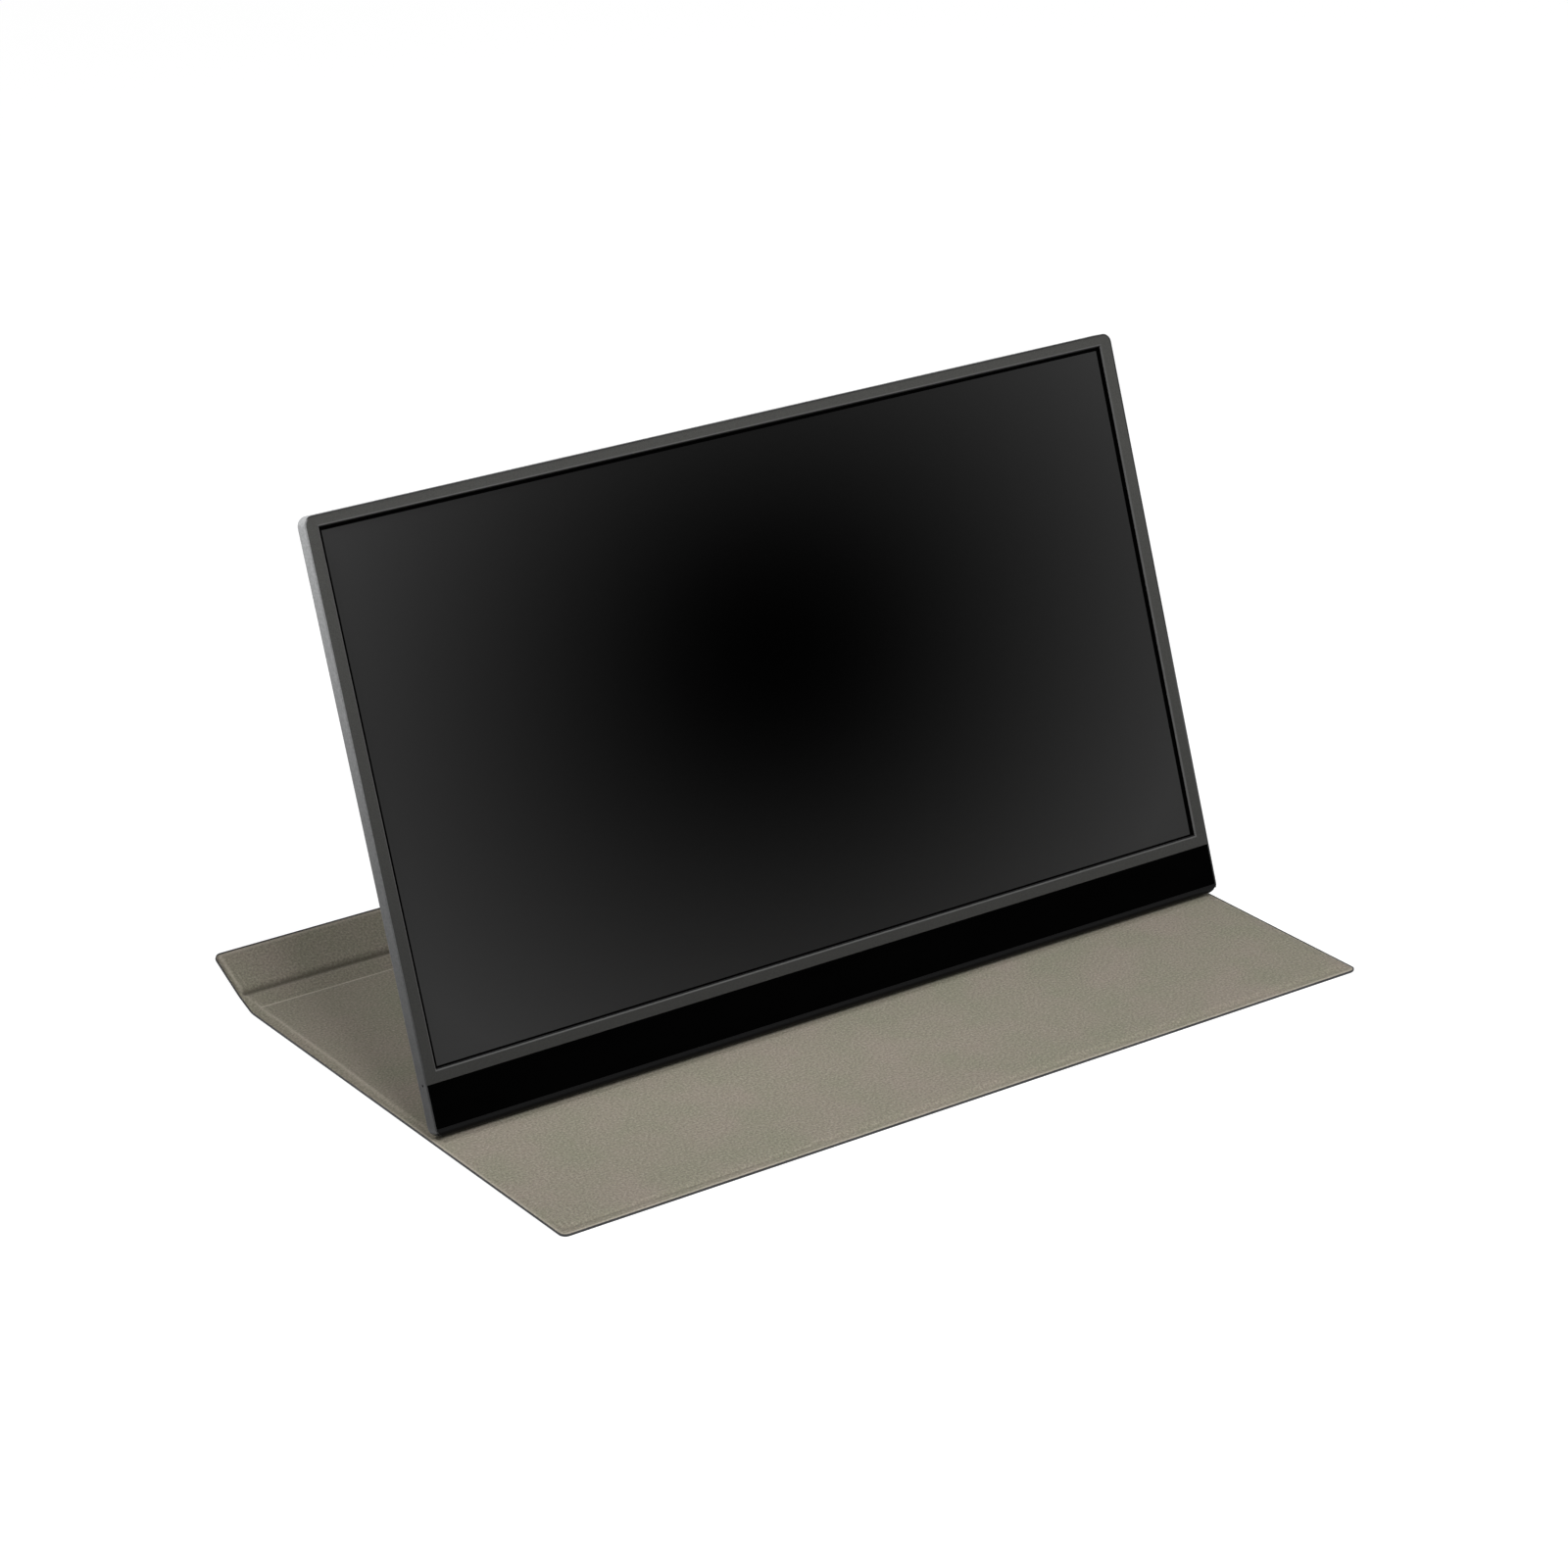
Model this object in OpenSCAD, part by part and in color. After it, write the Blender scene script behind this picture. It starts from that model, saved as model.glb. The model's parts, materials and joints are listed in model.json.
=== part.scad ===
// Portable monitor standing on its spread-out folding cover.
// Millimetres, +Z up. The origin lies on the table, below the middle of the line on which the
// display stands. +X runs along the width, and +Y points away from the viewer.

/* [Cover] */
// Reach of the cover in front of the line on which the display stands
cover_front = 86.6; // [60:0.2:120]
// Distance from that line back to the first fold
fold_1_y = 130; // [108:0.2:140]
// Width of the soft strip between the two folds
spine_w = 9.6; // [8:0.2:30]
// How steeply the soft strip rises from the table
spine_rise = 20; // [0:0.5:25]
// Length of the raised magnetic flap, fold to tip
flap_l = 21.4; // [20:0.2:36]
// How steeply the flap rises from the table
flap_rise = 26.4; // [20:0.2:45]
// Thickness of the outer skin
skin_t = 0.6; // [0.4:0.05:1]
// Thickness of the suede lining
lining_t = 0.5; // [0.3:0.05:0.8]
// Thickness of the stiffening boards
board_t = 0.9; // [0.8:0.05:1.4]
// Width of the board-free hem round the edge
hem_w = 6; // [4:0.5:8]
// Corner radius of the cover
cover_r = 3; // [2:0.5:8]

/* [Display] */
// Width of the display
display_w = 357; // [350:0.5:370]
// Height of the framed screen, from the chin to the top edge
frame_h = 203.6; // [200:0.2:215]
// Height of the glossy chin strip
chin_h = 16; // [13:0.2:20]
// Height of the bottom lip below the chin
lip_h = 3.2; // [3:0.2:7]
// Thickness of the display at its edges
edge_t = 6.5; // [6.2:0.1:7]
// Corner radius seen from the front
corner_r = 3.6; // [3:0.1:5]
// Radius of the rear edges
rear_r = 1.4; // [1.2:0.1:2]
// Lean of the screen, back from the vertical
lean = 19.2; // [14:0.1:24]
// Width of the thin rim of the shell that shows round the bezel
rim_w = 0.6; // [0.3:0.05:0.65]
// Wall of the rear shell
shell_wall = 1.2; // [1:0.05:1.3]

/* [Screen] */
// Width of the bezel at each side
bezel_side = 5.6; // [4.5:0.1:6]
// Width of the bezel at the top
bezel_top = 4.6; // [4:0.1:6]
// Width of the bezel above the chin
bezel_bottom = 4.9; // [4:0.1:7]
// Thickness of the bezel
bezel_t = 0.9; // [0.7:0.05:1.1]
// Width of the chamfer round the screen opening
bezel_chamfer = 0.6; // [0.3:0.05:0.65]
// Thickness of the glass cell with its polarisers
glass_t = 1.1; // [0.8:0.05:1.2]
// Thickness of the diffuser and prism films
films_t = 0.4; // [0.2:0.05:0.5]
// Thickness of the light guide
guide_t = 0.7; // [0.4:0.05:0.8]
// Thickness of the reflector sheet
reflector_t = 0.2; // [0.1:0.05:0.25]
// Sheet thickness of the tray that holds the screen stack
tray_t = 0.4; // [0.3:0.05:0.45]

/* [Rear housing] */
// Thickness of the display over the rear housing
full_t = 15; // [14.5:0.1:17]
// How far the housing stays in from each side of the display
housing_inset = 8; // [6:0.5:12]
// Height of the housing's flat back above the kickstand's hinge
above_hinge = 16.7; // [15.5:0.1:20]
// Length up the panel of the housing's sloping flanks
flank_h = 12.8; // [11:0.2:14]
// Wall of the housing
housing_wall = 1.6; // [1.3:0.1:1.8]

/* [Kickstand] */
// Width of the bay for the electronics, beside the kickstand
bay_w = 59.5; // [58:0.5:70]
// Distance from the display's foot line to the kickstand's hinge
stand_l = 68; // [62:0.5:70]
// Thickness of the kickstand plate
stand_t = 2.6; // [2.2:0.1:2.8]
// Radius of the hinge knuckles
knuckle_r = 2.4; // [2.2:0.05:2.6]
// Radius of the hinge pins
hinge_pin_r = 1.2; // [0.9:0.05:1.3]
// Radius of the round rubber feet
foot_r = 2; // [1.6:0.1:2.1]
// Radius of the finger notch in the kickstand's lower edge
notch_r = 11; // [8:0.5:14]

/* [Controls and ports] */
// Distance of the power button below the top of the housing's flat back
power_down = 7; // [6.5:0.1:9]
// Distance of the joystick below the power button
nav_down = 17; // [13:0.5:20]
// Travel of the power button
power_travel = 0.35; // [0.2:0.05:0.4]
// Travel of the joystick when it is pressed
nav_travel = 0.3; // [0.15:0.05:0.35]
// Radius of the headphone socket
jack_r = 1.8; // [1.75:0.01:1.9]
// Depth of the headphone socket
jack_depth = 12; // [10:0.5:14]

/* [Hidden] */
$fn = 64;
// A hair of overlap that lets a cut run past a face
cut = 1;
// Running gap between flat faces that move past each other
gap = 0.1;
// Radial running clearance of the pins and feet
running = 0.05;
// Clearance of the kickstand in its recess
recess_gap = 0.4;
// Gap between the round feet and the lining they stand on
stand_gap = 0.2;

// The cover is as wide as the display it covers
cover_w = display_w;
// Heights of the cover's layers above the table
hem_top = skin_t + lining_t;
board_top = skin_t + board_t;
cover_top = board_top + lining_t;
fold_2_y = fold_1_y + spine_w * cos(spine_rise);
fold_2_z = hem_top + spine_w * sin(spine_rise);

// Display, in its own axes: x across, y through the thickness from the front, z up the panel
display_h = lip_h + chin_h + frame_h;
chin_top = lip_h + chin_h;
pivot_depth = edge_t - foot_r - gap;
pivot_up = 1.8;
pivot_z = cover_top + stand_gap + foot_r;

// Screen opening and the stack behind it
opening_w = display_w - 2 * bezel_side;
opening_low = chin_top + bezel_bottom;
opening_high = display_h - bezel_top;
module_w = opening_w + 4.8;
module_low = opening_low - 7.8;
module_high = opening_high + 2.9;
module_front = bezel_t + 0.05;
stack_w = module_w - 2 * tray_t;
stack_low = module_low + tray_t;
stack_high = module_high - tray_t;
films_front = module_front + glass_t;
guide_front = films_front + films_t;
reflector_front = guide_front + guide_t;
tray_floor = reflector_front + reflector_t;
tray_back = tray_floor + tray_t;
shell_back_in = edge_t - shell_wall;

// Hinge of the kickstand
hinge_depth = full_t - knuckle_r;
hinge_up = pivot_up + sqrt(pow(stand_l, 2) - pow(hinge_depth - pivot_depth, 2));
hinge_angle = asin((hinge_depth - pivot_depth) / stand_l);

// Rear housing
housing_top = hinge_up + above_hinge;
housing_w = display_w - 2 * housing_inset;
housing_in = housing_w / 2 - housing_wall;
housing_low = 3.2;
housing_bulge = full_t - edge_t;
housing_high = housing_top + flank_h;
housing_back_in = full_t - housing_wall;

// Kickstand, drawn closed against the housing and then swung open
recess_half = housing_w / 2 - bay_w;
stand_w = 2 * (recess_half - 1);
stand_open = 2 * (lean + hinge_angle);
stand_in = full_t - stand_t;
toe_t = 2.2;
crank_up = housing_low + flank_h;
crank_angle = atan((stand_in + stand_t / 2 - pivot_depth) / (crank_up - pivot_up));
recess_floor_t = 1.5;
bracket_w = 16;
bracket_x = stand_w / 2 - 31;
bracket_t = 1.2;
bracket_depth = 10.8;
bracket_base_w = 24;
bracket_base_low = hinge_up + knuckle_r + 3.2;
bracket_base_h = 10;
bracket_screw_x = [5, bracket_base_w - 5];
bracket_screw_tip = housing_back_in + 0.6;
foot_x = [stand_w / 2 + 8, display_w / 2 - 10.5];

// Electronics in the housing
window_low = 20;
port_depth = 10.6;
board_front = 8;
board_thick = 1;
board_back = board_front + board_thick;
board_x = recess_half + 3;
board_high = housing_top - 1;
board_h = 49;
board_low = board_high - board_h;
board_screw_tip = board_back + 3;
flank_x = housing_w / 2;
power_up = housing_top - power_down;
nav_up = power_up - nav_down;
hdmi_up = housing_top - 7;
usb_up = [hdmi_up - 24, hdmi_up - 11.5];
jack_up = hdmi_up - 36;
passage_up = [board_low - 6, nav_up + 2];
port_gap = 0.15;
screw_r = 1;
speaker_x = recess_half + 21;
speaker_low = 19;
speaker_size = [housing_in - 11 - speaker_x, 4.5, board_low - 3 - speaker_low];
window_x = housing_in - 9;
window_high = housing_top - 6;

// ---------- placing and shaping helpers ----------

// Children drawn in the display's own axes, set leaning on its feet
module on_display() {
    translate([0, 0, pivot_z])
        rotate([-lean, 0, 0])
            translate([0, -pivot_depth, -pivot_up])
                children();
}

// Children drawn on the closed kickstand, swung open about its hinge
module on_stand() {
    on_display()
        translate([0, hinge_depth, hinge_up])
            rotate([stand_open, 0, 0])
                translate([0, -hinge_depth, -hinge_up])
                    children();
}

// Children drawn on the strip behind the first fold, with y running back from the fold
module on_spine() {
    translate([0, fold_1_y, hem_top])
        rotate([spine_rise, 0, 0])
            children();
}

// Children drawn on the flap, with y running from the second fold to the tip
module on_flap() {
    translate([0, fold_2_y, fold_2_z])
        rotate([flap_rise, 0, 0])
            children();
}

// One child on each side of the middle
module both_sides() {
    children();
    mirror([1, 0, 0]) children();
}

// Rectangle centred across, standing on its lower edge, with rounded corners
module rounded_rect(w, h, r) {
    translate([-w / 2 + r, 0]) square([w - 2 * r, h]);
    translate([-w / 2, r]) square([w, h - 2 * r]);
    for (x = [-w / 2 + r, w / 2 - r], y = [r, h - r])
        translate([x, y]) circle(r);
}

// Plate parallel to the screen, from one depth to another
module screen_plate(w, h, r, low, front, back) {
    translate([0, back, low])
        rotate([90, 0, 0])
            linear_extrude(back - front)
                rounded_rect(w, h, r);
}

// Block given by its limits across, in depth and up the panel
module block(x, y, z) {
    translate([x[0], y[0], z[0]])
        cube([x[1] - x[0], y[1] - y[0], z[1] - z[0]]);
}

// Outline in depth and height, drawn out across the panel from one x to another
module across(x) {
    translate([x[0], 0, 0])
        rotate([90, 0, 90])
            linear_extrude(x[1] - x[0])
                children();
}

// Cylinder along the width, round a point in depth and height
module rod(r, x, depth, up) {
    translate([x[0], depth, up])
        rotate([0, 90, 0])
            cylinder(r = r, h = x[1] - x[0]);
}

// Cylinder through the thickness of the display
module post(r, x, y, up) {
    translate([x, y[0], up])
        rotate([-90, 0, 0])
            cylinder(r = r, h = y[1] - y[0]);
}

// Closed frame that follows the rounded outline of the display. The child is the section,
// drawn from the centre line of the corners outwards and back from the front.
module swept_rim(w, h, r) {
    both_sides()
        translate([w / 2 - r, 0, r])
            linear_extrude(h - 2 * r)
                children();
    translate([0, 0, h - r])
        rotate([0, -90, 0])
            linear_extrude(w - 2 * r, center = true)
                children();
    translate([0, 0, r])
        rotate([0, 90, 0])
            linear_extrude(w - 2 * r, center = true)
                children();
    both_sides() {
        translate([w / 2 - r, 0, r])
            rotate([-90, 0, 0])
                rotate_extrude(angle = 90)
                    children();
        translate([w / 2 - r, 0, h - r])
            rotate([-90, 0, 0])
                rotate([0, 0, -90])
                    rotate_extrude(angle = 90)
                        children();
    }
}

// ---------- cover ----------

// Cover outline from one y to another, with the corners at the named end rounded
module cover_outline(w, y0, y1, r, round_front, round_back) {
    front = round_front ? r : 0;
    back = round_back ? r : 0;
    translate([-w / 2, y0 + front]) square([w, y1 - y0 - front - back]);
    if (round_front) {
        translate([-w / 2 + r, y0]) square([w - 2 * r, r]);
        for (x = [-w / 2 + r, w / 2 - r]) translate([x, y0 + r]) circle(r);
    }
    if (round_back) {
        translate([-w / 2 + r, y1 - r]) square([w - 2 * r, r]);
        for (x = [-w / 2 + r, w / 2 - r]) translate([x, y1 - r]) circle(r);
    }
}

board_w = cover_w - 2 * hem_w;
board_y0 = -cover_front + hem_w;
board_y1 = fold_1_y - 2 * lining_t;
lid_magnet = [30, 10, board_t];
lid_magnet_x = [-140, -50, 50, 140];

module lid_magnet_places() {
    for (x = lid_magnet_x)
        translate([x - lid_magnet[0] / 2, board_y0 + 2, skin_t])
            cube(lid_magnet);
}

// Stiffening board of the large panel
module cover_board() {
    color("#8a8577")
        difference() {
            translate([0, 0, skin_t])
                linear_extrude(board_t)
                    cover_outline(board_w, board_y0, board_y1, cover_r / 2, true, false);
            lid_magnet_places();
        }
}

// Magnets along the free edge of the board, which hold the shut cover to the display
module cover_magnets() {
    color("#b9bcc0") lid_magnet_places();
}

// Suede lining of the large panel, pressed down round the board to the hem
module cover_lining() {
    color("#7d776b")
        difference() {
            union() {
                translate([0, 0, skin_t])
                    linear_extrude(lining_t)
                        cover_outline(cover_w, -cover_front, fold_1_y, cover_r, true, false);
                translate([0, 0, skin_t])
                    linear_extrude(board_t + lining_t)
                        cover_outline(board_w + 2 * lining_t, board_y0 - lining_t,
                                      board_y1 + lining_t, cover_r / 2, true, false);
            }
            translate([0, 0, skin_t - cut])
                linear_extrude(board_t + cut)
                    cover_outline(board_w, board_y0, board_y1, cover_r / 2, true, false);
        }
}

// Outer skin of the large panel, which lies on the table
module cover_skin() {
    color("#2b2b2d")
        linear_extrude(skin_t)
            cover_outline(cover_w, -cover_front, fold_1_y, cover_r, true, false);
}

// Soft strip between the folds: lining on top of skin, with no board
module spine_lining() {
    color("#6f6a5f")
        on_spine()
            translate([0, 0, -lining_t])
                linear_extrude(lining_t)
                    cover_outline(cover_w, gap, spine_w - gap, cover_r, false, false);
}

module spine_skin() {
    color("#2b2b2d")
        on_spine()
            translate([0, 0, -hem_top])
                linear_extrude(skin_t)
                    cover_outline(cover_w, gap, spine_w - gap, cover_r, false, false);
}

// Limits of the flap's board
flap_board_y0 = 3;
flap_board_y1 = flap_l - hem_w;
flap_magnet = [26, 7, board_t];
flap_magnet_count = 6;
flap_magnet_pitch = 54;

module flap_magnet_places() {
    for (i = [0 : flap_magnet_count - 1])
        translate([(i - (flap_magnet_count - 1) / 2) * flap_magnet_pitch - flap_magnet[0] / 2,
                   (flap_board_y0 + flap_board_y1 - flap_magnet[1]) / 2, -lining_t])
            cube(flap_magnet);
}

module flap_board() {
    color("#8a8577")
        on_flap()
            difference() {
                translate([0, 0, -lining_t])
                    linear_extrude(board_t)
                        cover_outline(board_w, flap_board_y0, flap_board_y1, cover_r / 2, false, true);
                flap_magnet_places();
            }
}

// Magnets that hold the flap to the back of the display
module flap_magnets() {
    color("#b9bcc0") on_flap() flap_magnet_places();
}

module flap_lining() {
    color("#75705f")
        on_flap()
            difference() {
                union() {
                    translate([0, 0, -lining_t])
                        linear_extrude(lining_t)
                            cover_outline(cover_w, gap, flap_l, cover_r, false, true);
                    translate([0, 0, -lining_t])
                        linear_extrude(board_t + lining_t)
                            cover_outline(board_w + 2 * lining_t, flap_board_y0 - lining_t,
                                          flap_board_y1 + lining_t, cover_r / 2, false, true);
                }
                translate([0, 0, -lining_t - cut])
                    linear_extrude(board_t + cut)
                        cover_outline(board_w, flap_board_y0, flap_board_y1, cover_r / 2, false, true);
            }
}

module flap_skin() {
    color("#2b2b2d")
        on_flap()
            translate([0, 0, -hem_top])
                linear_extrude(skin_t)
                    cover_outline(cover_w, gap, flap_l, cover_r, false, true);
}

// ---------- display casing ----------

// Section of the kickstand in depth and height, thickened by a clearance on each face
module stand_section(extra) {
    half = toe_t / 2 + extra;
    up = [sin(crank_angle), cos(crank_angle)];
    out = [cos(crank_angle), -sin(crank_angle)];
    toe = [pivot_depth, pivot_up];
    outer_toe = toe + half * out;
    inner_toe = toe - half * out;
    outer_bend = outer_toe + up * (full_t + extra - outer_toe[0]) / up[0];
    inner_bend = inner_toe + up * (stand_in - extra - inner_toe[0]) / up[0];
    polygon([
        outer_toe,
        outer_bend,
        [full_t + extra, hinge_up],
        [stand_in - extra, hinge_up],
        inner_bend,
        inner_toe
    ]);
}

// Room that the closed kickstand takes, with its clearance
module stand_recess() {
    across([-recess_half, recess_half]) {
        stand_section(recess_gap);
        translate([hinge_depth, hinge_up - knuckle_r - recess_gap])
            square([full_t, 2 * (knuckle_r + recess_gap)]);
    }
    rod(knuckle_r + recess_gap, [-recess_half, recess_half], hinge_depth, hinge_up);
    rod(foot_r + recess_gap, [-recess_half, recess_half], pivot_depth, pivot_up);
    block([-recess_half, recess_half], [pivot_depth, full_t], [-cut, pivot_up + foot_r]);
}

// Section of the shell's side wall, from the centre line of the corner arcs outwards
module shell_section() {
    seat = bezel_t + 0.1;
    difference() {
        union() {
            square([corner_r, edge_t - rear_r]);
            square([corner_r - rear_r, edge_t]);
            translate([corner_r - rear_r, edge_t - rear_r]) circle(rear_r);
        }
        translate([-cut, -cut]) square([corner_r - rim_w + cut, seat + cut]);
        translate([-cut, 0]) square([corner_r - shell_wall + cut, shell_back_in]);
    }
}

housing_screw_places = [
    [-housing_in + 6, 22], [housing_in - 6, 22],
    [-housing_in + 6, housing_top - 40],
    [-30, housing_top - 3.5], [30, housing_top - 3.5]
];
pinhole_r = 0.5;
pinhole_depth = 2.3;

// Tray-shaped shell: the thin side walls and the flat back of the display
module rear_shell() {
    color("#8f9294")
        on_display()
            difference() {
                union() {
                    swept_rim(display_w, display_h, corner_r) shell_section();
                    block([-display_w / 2 + corner_r, display_w / 2 - corner_r],
                          [shell_back_in, edge_t], [corner_r, display_h - corner_r]);
                    block([-recess_half - 3, recess_half + 3],
                          [bezel_t + 0.1, edge_t], [corner_r, crank_up - flank_h + corner_r + 1]);
                }
                // room for the lip in the lower front edge
                block([-display_w / 2 + rim_w, display_w / 2 - rim_w],
                      [-cut, lip_t + 0.05], [-cut, lip_h]);
                // grooves of the rubber feet
                both_sides() {
                    rod(foot_r + running, foot_x, pivot_depth, pivot_up);
                    block(foot_x, [pivot_depth, edge_t + cut], [-cut, pivot_up + foot_r * 0.6]);
                }
                stand_recess();
                // window to the electronics
                block([-window_x, window_x], [shell_back_in - cut, edge_t + cut],
                      [window_low, window_high]);
                for (place = housing_screw_places)
                    post(screw_r, place[0], [0, edge_t + cut], place[1]);
                // pinhole in the left side, level with the top of the chin
                rod(pinhole_r, [-display_w / 2 - cut, -display_w / 2 + shell_wall + cut],
                    pinhole_depth, chin_top);
            }
}

lip_t = 2;
seat_w = display_w - 2 * (rim_w + running);
seat_r = corner_r - rim_w - running;

// Frame round the screen
module front_bezel() {
    color("#4c4d48")
        on_display()
            difference() {
                intersection() {
                    screen_plate(seat_w, display_h - 2 * (rim_w + running), seat_r, rim_w + running,
                                 0, bezel_t);
                    block([-display_w, display_w], [-cut, edge_t], [chin_top, display_h]);
                }
                block([-opening_w / 2, opening_w / 2], [-cut, edge_t], [opening_low, opening_high]);
                // chamfer round the opening
                hull() {
                    block([-opening_w / 2 - bezel_chamfer, opening_w / 2 + bezel_chamfer], [-0.01, 0],
                          [opening_low - bezel_chamfer, opening_high + bezel_chamfer]);
                    block([-opening_w / 2, opening_w / 2], [bezel_chamfer, bezel_chamfer + 0.01],
                          [opening_low, opening_high]);
                }
            }
}

// Glossy strip below the screen
module chin_panel() {
    color("#0b0b0c")
        on_display()
            block([-seat_w / 2, seat_w / 2], [0, bezel_t], [lip_h, chin_top - gap]);
}

// Rounded bar along the lower front edge
module bottom_lip() {
    color("#1c1c1d")
        on_display()
            intersection() {
                screen_plate(seat_w, display_h, corner_r, 0, 0, lip_t);
                across([-display_w, display_w])
                    intersection() {
                        square([lip_t, lip_h - running]);
                        union() {
                            translate([lip_t, lip_t]) circle(lip_t);
                            translate([0, lip_t]) square([lip_t, lip_h]);
                        }
                    }
            }
}

// Round rubber feet on which the display stands and rocks
module display_feet() {
    color("#1a1a1a")
        on_display()
            both_sides() rod(foot_r, [foot_x[0] + 0.2, foot_x[1] - 0.2], pivot_depth, pivot_up);
}

// ---------- screen stack ----------

// One flat layer of the stack
module stack_layer(front, back) {
    block([-stack_w / 2, stack_w / 2], [front, back], [stack_low, stack_high]);
}

module lcd_glass() {
    color("#101012") on_display() stack_layer(module_front, films_front);
}

module optical_films() {
    color("#f2f2ee") on_display() stack_layer(films_front, guide_front);
}

led_strip_h = 2;

module light_guide() {
    color("#dfe8ea")
        on_display()
            block([-stack_w / 2, stack_w / 2], [guide_front, reflector_front],
                  [stack_low + led_strip_h, stack_high]);
}

// Row of lamps that feeds the light guide from below
module led_strip() {
    color("#f4e9b0")
        on_display()
            block([-stack_w / 2 + 4, stack_w / 2 - 4], [guide_front, reflector_front],
                  [stack_low, stack_low + led_strip_h]);
}

module reflector_sheet() {
    color("#ffffff") on_display() stack_layer(reflector_front, tray_floor);
}

// Folded metal tray behind and around the stack
module panel_tray() {
    color("#a7a9ac")
        on_display()
            difference() {
                block([-module_w / 2, module_w / 2], [module_front, tray_back], [module_low, module_high]);
                block([-stack_w / 2, stack_w / 2], [module_front - cut, tray_floor],
                      [stack_low, stack_high]);
            }
}

tape_w = 5;
tape_low = 40;

// Foam tape that fixes the tray to the shell
module mounting_tape() {
    color("#3a3a3a")
        on_display()
            both_sides()
                block([module_w / 2 - tape_w - 1, module_w / 2 - 1], [tray_back, shell_back_in],
                      [tape_low, module_high - 12]);
}

shell_magnet = [26, shell_back_in - tray_back - 0.3, 8];

// Magnets in the shell that meet those of the cover's flap
module shell_magnets() {
    color("#b9bcc0")
        on_display()
            for (i = [0 : flap_magnet_count - 1])
                translate([(i - (flap_magnet_count - 1) / 2) * flap_magnet_pitch - shell_magnet[0] / 2,
                           shell_back_in - shell_magnet[1], module_high - shell_magnet[2] - 3])
                    cube(shell_magnet);
}

driver_w = 280;
driver_h = 9;
driver_t = 0.8;

// Narrow board behind the lower edge of the screen
module driver_board() {
    color("#2f5d3a")
        on_display()
            block([-driver_w / 2, driver_w / 2], [tray_back, tray_back + driver_t],
                  [module_low + 0.8, module_low + 0.8 + driver_h]);
}

cable_x = [board_x + 2, board_x + 16];
cable_t = 0.3;

// Flat cable from the driver board through the shell's window to the main board
module panel_cable() {
    start = tray_back + driver_t;
    low = window_low + 1;
    color("#c9a35b")
        on_display()
            union() {
                block(cable_x, [start, start + cable_t], [module_low + 4, low + cable_t]);
                block(cable_x, [start, board_front - cable_t], [low, low + cable_t]);
                block(cable_x, [board_front - cable_t, board_front], [low, board_low + 6]);
            }
}

// ---------- rear housing and electronics ----------

// Outer section of the housing in depth and height, drawn in by a wall thickness
module housing_section(wall) {
    slope = housing_bulge / flank_h;
    along = wall / sin(atan(slope));
    low = housing_low + along;
    high = housing_high - along;
    polygon([
        [edge_t - cut, low - cut / slope],
        [full_t - wall, low + (housing_bulge - wall) / slope],
        [full_t - wall, high - (housing_bulge - wall) / slope],
        [edge_t - cut, high + cut / slope]
    ]);
}

slot_size = [1.2, 14, 9];
slot_count = 8;
slot_pitch = 3;

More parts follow.
